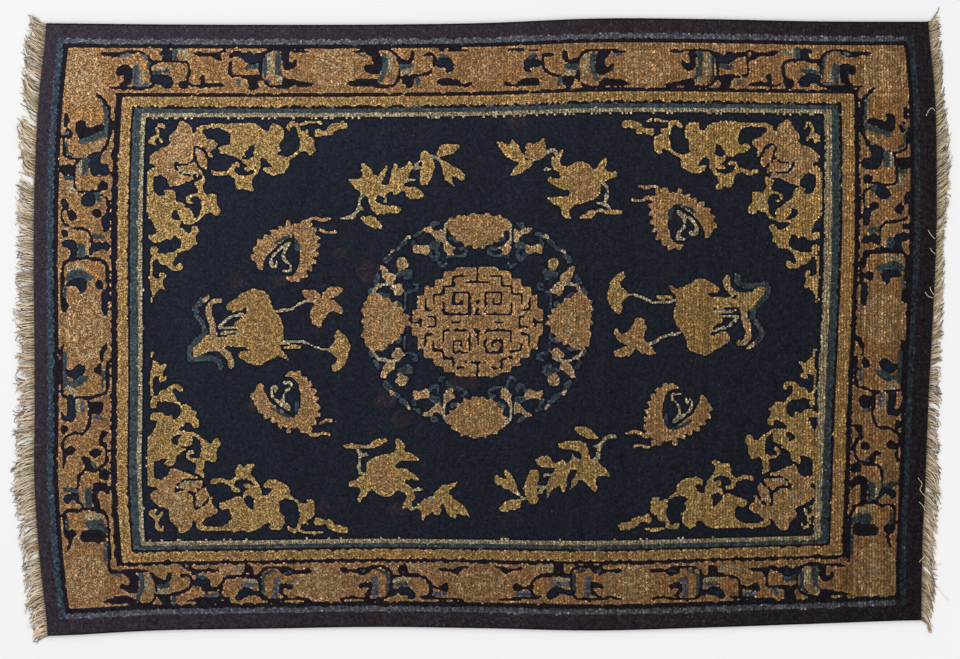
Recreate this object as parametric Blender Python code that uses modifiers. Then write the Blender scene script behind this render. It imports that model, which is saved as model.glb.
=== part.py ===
"""Hand-knotted wool pile rug with a cotton warp fringe at both short ends.

Metres, +Z up. The rug lies flat on its back, its long side along X, and the
origin is the middle of its underside.
"""

import math

import bmesh
import bpy

# Driving sizes of the carpet
RUG_LENGTH = 1.830
RUG_WIDTH = 1.243
PILE_TOP = 0.0085
EDGE_ROUNDING = 0.0024
SHARP_EDGE = math.radians(50)
CELLS_ALONG = 31
CELLS_ACROSS = 21

# How far each hand-woven edge strays outwards from its straight line, in metres,
# at nine even stations: left to right on the long edges, bottom to top on the ends.
EDGE_STRAY = {
    "top": (-0.0013, -0.0036, -0.0044, -0.0040, -0.0006, 0.0085, 0.0072, 0.0026, 0.0018),
    "bottom": (0.0151, 0.0040, 0.0002, -0.0034, -0.0006, 0.0040, -0.0018, -0.0096, -0.0170),
    "left": (-0.0213, -0.0050, 0.0058, 0.0052, 0.0060, 0.0074, 0.0050, -0.0030, -0.0185),
    "right": (-0.0173, -0.0150, -0.0080, -0.0022, 0.0060, 0.0130, 0.0142, 0.0110, -0.0026),
}

# The fringe: a narrow end web, and the warp ends that leave it in locks
WEB_GAP = 0.0003
WEB_WIDTH = 0.004
FRINGE_THICKNESS = 0.003

# Each lock: its bends, the share of the final lean that each bend has, how much of
# the room between two locks it fills at its root, and its width at the tip there.
LEAN_SHARES = (0.5, 0.85, 1.0)
ROOT_FILL = 0.60
TIP_FILL = 0.32
LOCKS_PER_TUFT = 5
TUFT_SWAY = 0.12
TURN_SWAY = math.radians(1.6)

# Each end's fringe: its place along the rug, which way it points, its locks, and at
# nine even stations from bottom to top the lean of the tips towards +Y, in degrees,
# and how far they reach outwards, in metres.
FRINGE = {
    "left": {
        "share": 0.0,
        "outwards": -1.0,
        "locks": 144,
        "lean": (-34, -30, -22, -14, 0, 8, 36, 45, 34),
        "reach": (0.034, 0.036, 0.043, 0.037, 0.036, 0.034, 0.034, 0.037, 0.037),
    },
    "right": {
        "share": 1.0,
        "outwards": 1.0,
        "locks": 140,
        "lean": (-50, -56, -50, -18, 46, 52, 44, 58, 60),
        "reach": (0.024, 0.028, 0.028, 0.024, 0.022, 0.020, 0.030, 0.018, 0.028),
    },
}

WOOL = ("navy wool", (0.021, 0.024, 0.040, 1.0), 0.92)
COTTON = ("undyed cotton", (0.52, 0.45, 0.31, 1.0), 0.88)


def through(stations, share):
    """A smooth curve through evenly spaced values, read at a share from 0 to 1."""
    last = len(stations) - 1
    place = min(max(share, 0.0), 1.0) * last
    start = min(int(place), last - 1)
    t = place - start
    before = stations[max(start - 1, 0)]
    here = stations[start]
    there = stations[start + 1]
    after = stations[min(start + 2, last)]
    return 0.5 * (
        2 * here
        + (there - before) * t
        + (2 * before - 5 * here + 4 * there - after) * t**2
        + (3 * here - before - 3 * there + after) * t**3
    )


def rug_point(u, v):
    """The place in plan of a share u along the rug and a share v across it."""
    left = -RUG_LENGTH / 2 - through(EDGE_STRAY["left"], v)
    right = RUG_LENGTH / 2 + through(EDGE_STRAY["right"], v)
    bottom = -RUG_WIDTH / 2 - through(EDGE_STRAY["bottom"], u)
    top = RUG_WIDTH / 2 + through(EDGE_STRAY["top"], u)
    return left + (right - left) * u, bottom + (top - bottom) * v


def material(name, colour, roughness):
    """A Principled material of one colour."""
    made = bpy.data.materials.new(name)
    made.use_nodes = True
    shader = made.node_tree.nodes["Principled BSDF"]
    shader.inputs["Base Color"].default_value = colour
    shader.inputs["Roughness"].default_value = roughness
    return made


def add_object(name, data, look, collection):
    """Links one named object with its material to the collection."""
    made = bpy.data.objects.new(name, data)
    data.materials.append(look)
    collection.objects.link(made)
    return made


def add_carpet(collection, look):
    """The knotted carpet: an even grid laid to the woven outline, thickened
    downwards, with its overcast rim rounded."""
    plan = bmesh.new()
    bmesh.ops.create_grid(plan, x_segments=CELLS_ALONG, y_segments=CELLS_ACROSS, size=0.5)
    for vertex in plan.verts:
        x, y = rug_point(vertex.co.x + 0.5, vertex.co.y + 0.5)
        vertex.co = (x, y, PILE_TOP)
    mesh = bpy.data.meshes.new("carpet")
    plan.to_mesh(mesh)
    plan.free()
    carpet = add_object("carpet", mesh, look, collection)
    thickness = carpet.modifiers.new("pile and ground", "SOLIDIFY")
    thickness.thickness = PILE_TOP
    thickness.offset = -1.0
    rim = carpet.modifiers.new("overcast rim", "BEVEL")
    rim.width = EDGE_ROUNDING
    rim.segments = 2
    rim.limit_method = "ANGLE"
    rim.angle_limit = SHARP_EDGE
    return carpet


def sway(number):
    """A steady wander between -1 and 1 that differs from one whole number to the next."""
    return 0.6 * math.sin(2.399 * number) + 0.4 * math.sin(5.113 * number + 1.7)


def lock_line(side, number):
    """Centre points of one lock, from the web's outer edge to its tip: it leaves
    nearly square to the web and bends over to the lean of its stretch of fringe."""
    share = (number + 0.5) / side["locks"]
    x, y = rug_point(side["share"], share)
    x += side["outwards"] * (WEB_GAP + WEB_WIDTH)
    lean = math.radians(through(side["lean"], share))
    reach = through(side["reach"], share) - WEB_WIDTH
    reach *= 1 + TUFT_SWAY * sway(number // LOCKS_PER_TUFT)
    step = reach / len(LEAN_SHARES)
    points = [(x, y)]
    for bend, lean_share in enumerate(LEAN_SHARES):
        angle = lean * lean_share + TURN_SWAY * sway(number + bend * side["locks"])
        x += side["outwards"] * step
        y += step * math.tan(angle)
        points.append((x, y))
    return points


def lock_outline(side, number):
    """A lock's outline as one run of points, out along its lower side, over the tip
    and back along its upper side. Its width is laid off along the web, so that
    locks that lean together stay apart."""
    line = lock_line(side, number)
    room = RUG_WIDTH / side["locks"]
    lower = []
    upper = []
    for place, (x, y) in enumerate(line):
        share = place / (len(line) - 1)
        half = room / 2 * (ROOT_FILL + (TIP_FILL - ROOT_FILL) * share)
        lower.append((x, y - half))
        upper.append((x, y + half))
    return lower + upper[::-1]


def add_fringe(name, side, collection, look):
    """One end's fringe as a flat comb: the web along the carpet's end, and every
    lock as a finger that stands apart from its neighbours."""
    inner = []
    for station in range(CELLS_ACROSS, -1, -1):
        x, y = rug_point(side["share"], station / CELLS_ACROSS)
        inner.append((x + side["outwards"] * WEB_GAP, y))
    across_web = side["outwards"] * WEB_WIDTH
    outline = [*inner, (inner[-1][0] + across_web, inner[-1][1])]
    for number in range(side["locks"]):
        outline += lock_outline(side, number)
    outline.append((inner[0][0] + across_web, inner[0][1]))

    curve = bpy.data.curves.new(name, "CURVE")
    curve.dimensions = "2D"
    curve.fill_mode = "BOTH"
    curve.extrude = FRINGE_THICKNESS / 2
    spline = curve.splines.new("POLY")
    spline.points.add(len(outline) - 1)
    for point, (x, y) in zip(spline.points, outline, strict=True):
        point.co = (x, y, 0.0, 1.0)
    spline.use_cyclic_u = True
    fringe = add_object(name, curve, look, collection)
    fringe.location.z = FRINGE_THICKNESS / 2
    return fringe


def main():
    for old in list(bpy.data.objects):
        bpy.data.objects.remove(old)
    rug = bpy.data.collections.new("pile_rug")
    bpy.context.scene.collection.children.link(rug)
    wool = material(*WOOL)
    cotton = material(*COTTON)
    add_carpet(rug, wool)
    for name, side in FRINGE.items():
        add_fringe(f"fringe_{name}", side, rug, cotton)


main()
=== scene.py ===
"""Dresses the pile rug: knotted wool with its pattern, cotton fringes, and a pale floor.

The pattern is a knot chart, one yarn for each knot, drawn from leaves, petals, scrolls
and lines. Each knot is one face of the pile, laid to the rug's uneven woven outline.
"""

import math

import bpy
import numpy as np
from bpy.props import FloatProperty, FloatVectorProperty, IntProperty, PointerProperty
from bpy.types import Operator, Panel, PropertyGroup
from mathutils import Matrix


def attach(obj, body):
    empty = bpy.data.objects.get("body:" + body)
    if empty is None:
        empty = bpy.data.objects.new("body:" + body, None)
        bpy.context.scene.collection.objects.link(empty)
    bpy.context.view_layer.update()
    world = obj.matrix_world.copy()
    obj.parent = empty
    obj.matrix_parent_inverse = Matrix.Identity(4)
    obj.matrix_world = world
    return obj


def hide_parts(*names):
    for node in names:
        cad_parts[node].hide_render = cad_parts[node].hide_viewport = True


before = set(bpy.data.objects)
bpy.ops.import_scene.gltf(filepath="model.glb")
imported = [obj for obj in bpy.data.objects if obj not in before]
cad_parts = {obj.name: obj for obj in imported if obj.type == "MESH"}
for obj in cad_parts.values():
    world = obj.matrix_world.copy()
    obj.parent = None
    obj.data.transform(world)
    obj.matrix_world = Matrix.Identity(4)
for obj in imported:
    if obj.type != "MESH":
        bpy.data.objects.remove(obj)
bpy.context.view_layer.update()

bl_info = {
    "name": "Pile rug",
    "version": (1, 0, 0),
    "blender": (4, 5, 0),
    "location": "3D View > Sidebar > Rug",
    "description": "Makes a knotted pile rug with its chart, fringes and a studio floor",
    "category": "Add Mesh",
}

# The carpet's outline
RUG_LENGTH = 1.830
RUG_WIDTH = 1.243
PILE_TOP = 0.0085
KNOTS_ALONG = 440
KNOTS_ACROSS = 300
EDGE_STRAY = {
    "top": (-0.0013, -0.0036, -0.0044, -0.0040, -0.0006, 0.0085, 0.0072, 0.0026, 0.0018),
    "bottom": (0.0151, 0.0040, 0.0002, -0.0034, -0.0006, 0.0040, -0.0018, -0.0096, -0.0170),
    "left": (-0.0213, -0.0050, 0.0058, 0.0052, 0.0060, 0.0074, 0.0050, -0.0030, -0.0185),
    "right": (-0.0173, -0.0150, -0.0080, -0.0022, 0.0060, 0.0130, 0.0142, 0.0110, -0.0026),
}

# The yarns of the chart
(NAVY, AUBERGINE, SLATE, TAN, ORANGE, PEONY, GOLD, TEAL, CREAM, DARK, SAND, STRAW, RUST,
 LAKE) = range(14)

# The chart's drawing board has the photograph's scale: its step is one pixel, in
# metres, and its middle is the carpet's middle there. x runs to the right and y down.
# The motifs' points were read off enlarged parts of the photograph.
BOARD_STEP = 0.002049
BOARD_MIDDLE = (483.5, 325.6)

# How unevenly the knots stand against the chart's lines, on the board and in stripes
KNOT_STRAY = 0.34
STRIPE_STRAY = 0.62
CHART_SEED = 3

# Stripes from the rug's edge inwards, in knots at the left, right, top and bottom
STRIPES = (
    (DARK, 0.0, 0.0, 0.0, 0.0),
    (AUBERGINE, 0.0, 0.0, 0.9, 0.9),
    (SLATE, 6.6, 8.4, 7.5, 7.8),
    (LAKE, 8.6, 9.9, 9.8, 10.3),
    (DARK, 9.5, 11.1, 10.1, 10.6),
    (TAN, 11.9, 13.2, 12.0, 12.8),
    (DARK, 37.6, 37.5, 34.2, 32.4),
    (GOLD, 40.7, 40.2, 36.0, 34.3),
    (DARK, 45.8, 46.1, 40.5, 38.7),
    (TEAL, 47.2, 47.5, 41.7, 40.0),
    (CREAM, 50.8, 51.2, 44.0, 41.8),
    (NAVY, 53.0, 54.6, 46.3, 44.2),
)
# How many knots in from the left and right ends the slate line is blue instead
BLUE_ENDS = (10, 13)


def through(stations, share):
    """A smooth curve through evenly spaced values, read at shares from 0 to 1: the
    cubic between two values whose slope at each is half the step across it."""
    stations = np.asarray(stations, dtype=float)
    last = len(stations) - 1
    place = np.clip(share, 0.0, 1.0) * last
    start = np.minimum(place.astype(int), last - 1)
    t = place - start
    before = stations[np.maximum(start - 1, 0)]
    here = stations[start]
    there = stations[start + 1]
    after = stations[np.minimum(start + 2, last)]
    return 0.5 * (
        2 * here
        + (there - before) * t
        + (2 * before - 5 * here + 4 * there - after) * t**2
        + (3 * here - before - 3 * there + after) * t**3
    )


def rug_point(u, v):
    """The place in plan of shares u along the rug and v across it."""
    left = -RUG_LENGTH / 2 - through(EDGE_STRAY["left"], v)
    right = RUG_LENGTH / 2 + through(EDGE_STRAY["right"], v)
    bottom = -RUG_WIDTH / 2 - through(EDGE_STRAY["bottom"], u)
    top = RUG_WIDTH / 2 + through(EDGE_STRAY["top"], u)
    return left + (right - left) * u, bottom + (top - bottom) * v


# Knot chart
class Place:
    """Where a motif goes on the board: sized or flipped, turned in degrees, moved."""

    def __init__(self, x=0.0, y=0.0, turn=0.0, wide=1.0, high=1.0):
        angle = math.radians(turn)
        spin = np.array(((math.cos(angle), -math.sin(angle)), (math.sin(angle), math.cos(angle))))
        self.matrix = spin @ np.diag((wide, high))
        self.offset = np.array((x, y), dtype=float)

    def at(self, x=0.0, y=0.0, turn=0.0, wide=1.0, high=1.0):
        """A place inside this one."""
        inner = Place(x, y, turn, wide, high)
        inner.offset = self.matrix @ inner.offset + self.offset
        inner.matrix = self.matrix @ inner.matrix
        return inner

    def __call__(self, points):
        return np.asarray(points, dtype=float) @ self.matrix.T + self.offset


def smooth(points, closed=False, steps=5):
    """Points along the smooth curve through a few given ones."""
    points = np.asarray(points, dtype=float)
    if len(points) < 3:
        return points
    if closed:
        points = np.concatenate((points[-2:], points, points[:3]))
    shares = np.linspace(0.0, 1.0, (len(points) - 1) * steps + 1)
    line = np.stack((through(points[:, 0], shares), through(points[:, 1], shares)), axis=1)
    if closed:
        line = line[2 * steps:-3 * steps + steps]
    return line


class Chart:
    """The yarn of every knot, and each knot's place on the drawing board."""

    def __init__(self):
        u = (np.arange(KNOTS_ALONG) + 0.5) / KNOTS_ALONG
        v = (np.arange(KNOTS_ACROSS) + 0.5) / KNOTS_ACROSS
        x, y = rug_point(*np.meshgrid(u, v))
        stray = np.random.default_rng(CHART_SEED).normal(0.0, KNOT_STRAY, (2, *x.shape))
        self.stray = stray[0]
        self.x = BOARD_MIDDLE[0] + x / BOARD_STEP + stray[0]
        self.y = BOARD_MIDDLE[1] - y / BOARD_STEP + stray[1]
        self.yarns = np.zeros((KNOTS_ACROSS, KNOTS_ALONG), dtype=np.int8)

    def window(self, points, spare):
        """The slice of knots around some points of the board."""
        knot = RUG_LENGTH / KNOTS_ALONG / BOARD_STEP
        low = (points.min(axis=0) - spare - BOARD_MIDDLE) / knot
        high = (points.max(axis=0) + spare - BOARD_MIDDLE) / knot
        slack = 9
        first = max(int(KNOTS_ALONG / 2 + low[0]) - slack, 0)
        last = max(int(KNOTS_ALONG / 2 + high[0]) + slack, 0)
        floor = max(int(KNOTS_ACROSS / 2 - high[1]) - slack, 0)
        ceiling = max(int(KNOTS_ACROSS / 2 - low[1]) + slack, 0)
        return slice(floor, ceiling), slice(first, last)

    def fill(self, place, outline, yarn, over=None):
        """Knots inside an outline take a yarn: a knot is inside if a line from it
        to the right crosses the outline an odd number of times."""
        points = place(outline)
        window = self.window(points, 0.0)
        x = self.x[window][..., None]
        y = self.y[window][..., None]
        after = np.roll(points, -1, axis=0)
        rise = after[:, 1] - points[:, 1]
        rise[rise == 0.0] = 1e-9
        crossing = points[:, 0] + (y - points[:, 1]) * (after[:, 0] - points[:, 0]) / rise
        spans = (points[:, 1] > y) != (after[:, 1] > y)
        inside = (spans & (x < crossing)).sum(axis=-1) % 2 == 1
        self.paint(window, inside, yarn, over)

    def stroke(self, place, points, yarn, wide, end=None, over=None, raw=False):
        """Knots near a smooth line take a yarn: nearer than half its width, which
        goes evenly from wide to end."""
        line = place(points if raw else smooth(points))
        if end is None:
            end = wide
        window = self.window(line, max(wide, end))
        x = self.x[window][..., None]
        y = self.y[window][..., None]
        start = line[:-1]
        way = line[1:] - start
        length = np.maximum((way**2).sum(axis=1), 1e-9)
        t = ((x - start[:, 0]) * way[:, 0] + (y - start[:, 1]) * way[:, 1]) / length
        t = np.clip(t, 0.0, 1.0)
        away = np.hypot(x - start[:, 0] - t * way[:, 0], y - start[:, 1] - t * way[:, 1])
        share = (np.arange(len(way)) + t) / len(way)
        half = (wide + (end - wide) * share) / 2
        self.paint(window, (away < half).any(axis=-1), yarn, over)

    def paint(self, window, inside, yarn, over):
        """Sets the yarn of some knots, or of those among them that have the yarns over."""
        knots = self.yarns[window]
        if over is not None:
            inside = inside & np.isin(knots, over)
        knots[inside] = yarn

    def stripes(self):
        """The plain stripes, by each knot's distance from the rug's four edges."""
        column = np.arange(KNOTS_ALONG) + 0.5 + self.stray * STRIPE_STRAY
        row = np.arange(KNOTS_ACROSS)[:, None] + 0.5 - self.stray * STRIPE_STRAY
        for yarn, left, right, top, bottom in STRIPES:
            across = (column > left) & (column < KNOTS_ALONG - right)
            inside = across & (row > bottom) & (row < KNOTS_ACROSS - top)
            self.yarns[inside] = yarn
        ends = (column < BLUE_ENDS[0]) | (column > KNOTS_ALONG - BLUE_ENDS[1])
        self.yarns[ends & (self.yarns == SLATE)] = LAKE


def leaf(length, width, bend=0.0, teeth=0, sharp=0.9):
    """A leaf's outline from its foot at the origin along x: half its width goes as a
    power of the sine along it, its middle line bends evenly, and teeth nick its edge."""
    share = np.linspace(0.0, 1.0, 15)
    angle = math.radians(bend) * share
    step = length / (len(share) - 1)
    x = np.concatenate(((0.0,), np.cumsum(np.cos(angle[1:]) * step)))
    y = np.concatenate(((0.0,), np.cumsum(np.sin(angle[1:]) * step)))
    half = width / 2 * np.sin(np.pi * share**0.85) ** sharp
    if teeth:
        half = half * (0.72 + 0.4 * ((share * teeth) % 1.0))
    side = np.stack((-np.sin(angle), np.cos(angle)), axis=1) * half[:, None]
    middle = np.stack((x, y), axis=1)
    return np.concatenate((middle + side, (middle - side)[::-1]))


def lobed(wide, high, lobes, depth=0.16, turn=0.0):
    """A flower's outline around the origin: an oval whose radius swells in round lobes,
    as the size of a sine."""
    angle = np.linspace(0.0, 2 * np.pi, 12 * lobes, endpoint=False)
    swell = np.abs(np.sin((angle + math.radians(turn)) * lobes / 2)) ** 0.6
    radius = 1.0 - depth + depth * swell
    return np.stack((wide / 2 * np.cos(angle) * radius, high / 2 * np.sin(angle) * radius), axis=1)


def draw(chart, place, rows):
    """Drawn rows: a yarn and the points of a filled soft outline, or a yarn, a line's width at its start
    and at its end, and its points."""
    for yarn, *rest in rows:
        if isinstance(rest[0], tuple):
            chart.fill(place, smooth(rest, closed=True), yarn)
        else:
            wide, end, *points = rest
            chart.stroke(place, points, yarn, wide, end)


def leaves(chart, place, yarn, rows):
    """Leaves from a table: foot x and y, direction, length, width, bend and teeth."""
    for x, y, turn, length, width, bend, teeth in rows:
        chart.fill(place.at(x, y, turn), leaf(length, width, bend, teeth), yarn)


# The wide border's scroll units, drawn at the rug's upper left: near the corner, between
# the corner and the peony, and between the peony and the middle
SCROLL_NEAR = (
    (DARK, (100, 52), (108, 52.5), (120, 52), (130, 50.5), (131, 55), (121, 59), (112, 57), (103, 56.5)),
    (SLATE, 2.6, 2.6, (121, 56.5), (129, 53.5)),
    (TEAL, 3, 3, (142, 54), (148, 61), (149, 75)),
    (ORANGE, 8, 8, (141, 60), (143, 66)),
    (DARK, 2.8, 2.8, (130, 51.5), (142, 52), (149, 57), (151.5, 63), (150.4, 70), (152, 78)),
    (DARK, (116, 71), (118.5, 66), (127, 64.5), (132, 68), (131.5, 81), (128, 86), (119, 86), (123, 81),
     (124, 74), (120.5, 76), (117, 75.5)),
    (TEAL, 5.5, 5, (135, 67), (136, 84)),
    (SLATE, 2.8, 2.8, (138, 62), (138, 81)),
    (CREAM, 5, 5, (143, 73), (142, 82)),
    (SLATE, 2.6, 2.6, (137, 86), (148, 84)),
    (DARK, 3, 3.6, (110.5, 87.6), (135, 88.4), (149, 87), (157, 81)),
    (NAVY, (150, 81), (155, 75), (167, 75), (174, 81), (172, 87), (164, 88.5), (160.5, 85), (155, 84)),
    (TEAL, 4, 4, (154, 73.5), (162, 71.5), (170, 72)),
    (CREAM, 2.8, 2.8, (155, 69), (171, 67.5)),
    (NAVY, (159, 53), (162.5, 49.5), (170, 49.5), (173, 53), (172.5, 59), (166, 60.5), (161.5, 59.5),
     (164, 57), (163, 54), (160.5, 56)),
    (TEAL, 4.4, 4.4, (175, 50), (175, 59)),
    (CREAM, 6, 5, (181, 52), (187, 55)),
    (ORANGE, 5, 5, (176, 68), (181, 76)),
    (DARK, 2.8, 3.4, (151.5, 66), (156, 62), (182, 61.5), (189, 67), (187, 81)),
    (DARK, (178, 82), (184, 80.5), (189, 84), (187, 88.5), (180, 88.5)),
    (DARK, (188, 81), (194, 85), (200, 84), (200, 74.5), (205.5, 76), (206, 82.5), (213, 82), (225, 84.5),
     (221, 87), (196, 88)),
    (DARK, (193, 52.5), (198, 51), (205, 53.5), (215, 52), (221, 55), (222, 61.5), (217.5, 60.5),
     (213, 57), (204, 57.5), (196, 55.5)),
    (DARK, 2.6, 2.6, (220, 52), (227, 51)),
)
SCROLL_MIDDLE = (
    (CREAM, 6, 7, (270, 55), (271, 72)),
    (TEAL, 5, 5, (278, 54), (279, 74), (284, 80)),
    (LAKE, 3, 3, (265, 56), (265, 76), (270, 82)),
    (DARK, 3, 3, (231, 54), (230, 73), (235, 76), (258, 76)),
    (DARK, (232, 52), (240, 51.5), (240.5, 57), (233, 56.5)),
    (ORANGE, 9, 9, (238, 66), (243, 68)),
    (NAVY, (241, 55), (250, 50.5), (253, 55), (260, 52), (267, 51), (263, 60), (252, 64), (243, 59.5)),
    (TEAL, 5, 5, (247, 67.5), (258, 66)),
    (DARK, 3, 3, (308, 51.5), (280, 50), (265, 52), (261, 62), (261, 77), (267, 84), (275, 86.5),
     (292, 86.5)),
    (DARK, (282, 52.5), (289, 51.5), (289, 62), (292, 63), (294, 58.5), (297.5, 60), (295, 67.5),
     (288, 70.5),
     (283, 67)),
    (DARK, (281, 81), (288, 78), (300, 81), (312, 83), (310, 86.5), (295, 86), (285, 86.5)),
    (CREAM, 4.4, 4, (278, 77), (281, 82)),
    (DARK, (245, 77), (258.5, 77), (257.5, 84), (259, 89), (249, 89.5), (247, 82)),
    (SLATE, 4, 4, (238, 80), (240, 85)),
)
SCROLL_FAR = (
    (DARK, 3, 3, (353, 51.5), (388, 50), (398, 60), (398, 78), (392, 86), (373, 86)),
    (SLATE, 3, 3, (357, 54), (364, 55.5)),
    (TEAL, 5, 5, (384, 54), (385, 66), (381, 80)),
    (SLATE, 3, 3, (380, 56), (381, 70)),
    (CREAM, 5, 5, (390, 56), (391.5, 73)),
    (DARK, (367, 53), (380, 53), (381, 72), (371, 74), (363.5, 69), (363.5, 63.5), (370, 66), (373, 61)),
    (DARK, (346, 84), (358, 79), (375, 78.5), (377.5, 85.5), (357, 86.5)),
    (DARK, (397.5, 56), (408, 60), (411, 51), (415, 51), (414, 60), (405, 64.5), (397.5, 63)),
    (TEAL, 5, 5, (401, 67), (411, 66)),
    (CREAM, 4, 4, (401, 73), (412, 72)),
    (ORANGE, 8, 8, (421, 60), (426, 64)),
    (DARK, 3, 3, (398, 77), (417, 76), (432, 70), (433.5, 55), (424, 55)),
    (NAVY, (435, 63), (442, 57), (450, 57), (454, 64), (451.5, 71.5), (443, 72.5), (446.5, 67.5),
     (438, 67)),
    (TEAL, 3.4, 3, (440, 55), (448, 57)),
    (DARK, 2.6, 2.6, (440, 50), (468, 49.5)),
    (DARK, (402, 79), (412, 78), (414, 83), (409, 88.5), (404, 84)),
    (TEAL, 4, 4, (417, 79), (418, 84)),
    (DARK, (436, 82.5), (442, 78), (458, 79.5), (462, 84), (473, 81), (472, 86), (462, 87), (440, 85.5)),
)
# The unit of the lower side between two peonies
SCROLL_LOW = (
    (DARK, (339, 570), (343, 567), (348, 568.5), (356, 569), (362, 566.5), (371, 568), (368, 573.5),
     (361, 575.5), (356, 572.5), (346, 573), (341, 572)),
    (LAKE, 2.6, 2.6, (360, 571), (365, 571)),
    (ORANGE, 5, 6, (371, 575), (379, 573.5), (383, 578), (382, 592)),
    (SLATE, 6, 6, (374, 578), (375.5, 595)),
    (TEAL, 3, 3, (378, 570), (386, 573), (388, 580), (387.5, 594)),
    (DARK, 3, 3.4, (366, 567.5), (380, 566.5), (388, 569), (391.5, 574), (391, 585), (389.5, 595)),
    (DARK, (358, 586), (361, 583), (369, 582), (372, 586), (371, 594), (367, 597), (363, 595), (367, 592),
     (368, 588), (364, 587.5), (361, 590), (359, 589)),
    (DARK, 3, 3.2, (341, 599), (352, 597.5), (362, 598.5), (376, 599.5), (386, 598), (391, 594)),
    (DARK, (398, 573), (398, 568), (401, 564.5), (406, 565), (408, 570), (407, 573.5), (403, 571),
     (401, 574)),
    (CREAM, 4, 4, (411, 565), (412, 572)),
    (PEONY, 7, 6, (417, 568), (429, 569)),
    (CREAM, 4, 4, (394, 580), (408, 579)),
    (SLATE, 4, 4, (394, 584.5), (408, 584)),
    (ORANGE, 7, 6, (412, 581), (420, 583), (426, 589)),
    (NAVY, (390, 590), (396, 589.5), (402, 586.5), (410, 587.5), (414, 592), (416, 597), (411, 600),
     (407, 597), (402, 594.5), (396, 594.5), (391, 596)),
    (ORANGE, (395, 600), (398, 596), (403, 596), (405, 600)),
    (DARK, 3.4, 3.6, (393, 577), (398, 575.5), (415, 575), (424, 577), (429, 581), (430.5, 588),
     (430.5, 594),
     (428, 597)),
    (DARK, (419, 594), (424, 596), (430, 595), (431, 598), (425, 599.5), (420, 597.5)),
    (SLATE, 5, 4, (434, 594), (445, 594)),
    (DARK, 3, 3, (431, 585), (436, 588), (442, 587)),
    (DARK, (440, 588), (444, 583), (447, 581.5), (449.5, 585), (449, 591), (445, 591), (440, 590.5)),
    (DARK, 3, 2.8, (431, 598), (448, 599), (463, 600)),
    (DARK, (437, 569), (442, 567), (448, 568.5), (455, 568), (459, 566), (467, 565.5), (468, 568.5),
     (462, 569.5), (459, 574), (456, 575), (452, 571.5), (444, 571)),
)

# The same on the left side: from the upper corner to the peony, round the peony's
# upper end, and from there to the lower corner
SIDE_CORNER = (
    (ORANGE, (70, 110), (84, 104), (98, 104), (104, 116), (98, 122), (88, 120), (76, 122), (70, 130),
     (66, 140),
     (74, 150), (68, 154), (64, 140), (66, 122)),
    (TEAL, 2.8, 2.8, (103, 106), (106.5, 115), (105.5, 136)),
    (DARK, 3.4, 4.4, (97, 95), (106, 103), (109.5, 112), (109.5, 133), (107, 144), (101, 153)),
    (DARK, (77, 122), (85, 120.5), (87, 128), (101, 123.5), (103, 130), (91, 135), (85, 139.5),
     (77, 136.5)),
    (TEAL, 6, 6, (82, 142), (91, 138.5), (103, 134)),
    (CREAM, 3, 3, (91, 147), (101, 142.5)),
    (DARK, (63, 116), (66, 112.5), (69, 120), (67, 126.5), (63.5, 125)),
    (DARK, (64.5, 133), (68, 128.5), (73, 132), (71, 139.5), (66, 139)),
    (SLATE, 2.6, 2.6, (66, 135), (69, 131.5)),
    (TEAL, 2.8, 2.8, (66.5, 142), (67.5, 152), (73, 155)),
    (DARK, 2.8, 2.8, (63, 136), (64.5, 154), (70, 158), (80, 159), (90, 157)),
    (NAVY, (88.5, 155), (102, 152), (100, 164), (108, 164), (109.5, 174), (97.5, 176), (90.5, 173)),
    (TEAL, 7, 7, (85, 161), (85, 172)),
    (CREAM, 4.4, 4, (79.5, 161), (80, 173)),
    (DARK, (60.5, 166), (67.5, 164.5), (75.5, 167), (75.5, 174.5), (62, 174.5)),
    (TEAL, 4, 4, (65, 178), (73, 178)),
    (CREAM, 5, 5, (69, 193), (72, 183)),
    (ORANGE, 12, 10, (84, 181), (94, 182)),
    (DARK, 2.8, 2.8, (78, 161), (75.5, 166), (75.5, 189), (85, 191.5), (101, 190)),
    (DARK, (99, 184), (104, 180.5), (108.5, 185), (107, 190), (99.5, 190)),
    (NAVY, (80.5, 200), (87, 192), (92.5, 193), (96.5, 200), (91, 207), (84, 206)),
    (TEAL, 5, 5, (96.5, 194), (98.5, 200)),
    (NAVY, (60.5, 199), (66, 199), (68, 209), (64, 211)),
    (DARK, (67, 213), (71, 209.5), (76.5, 213.5), (75.5, 219.5), (70, 220.5)),
    (ORANGE, 9, 9, (82, 218), (86, 223)),
    (DARK, 3, 3, (62, 210), (62.5, 221), (71, 227.5), (84, 229), (90, 234), (91, 251), (84, 259)),
    (DARK, (91.5, 213), (96, 208.5), (101.5, 212), (99.5, 217.5), (94, 216.5)),
    (DARK, 3, 3, (101, 195), (107.5, 199), (107.5, 216)),
    (NAVY, (101, 220), (107.5, 213), (109.5, 229), (104, 233)),
    (DARK, (61.5, 230), (68, 230.5), (69, 236.5), (63, 236.5)),
    (NAVY, (62, 241), (76, 241), (76.5, 260), (68, 260), (70, 249.5), (63, 247)),
    (TEAL, 7, 7, (81, 246), (81.5, 257)),
    (CREAM, 3.4, 3, (87, 247), (87.5, 255)),
    (TEAL, 6, 5, (95, 236.5), (103, 237)),
    (NAVY, (90, 246), (95, 241.5), (109, 243), (108.5, 250.5), (100, 249.5), (93, 252.5)),
    (ORANGE, 6, 6, (97, 254), (105, 255)),
    (DARK, 3.4, 3.4, (62.5, 271), (65, 262), (75, 259), (97.5, 259), (106, 264), (107.5, 274)),
)
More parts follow.
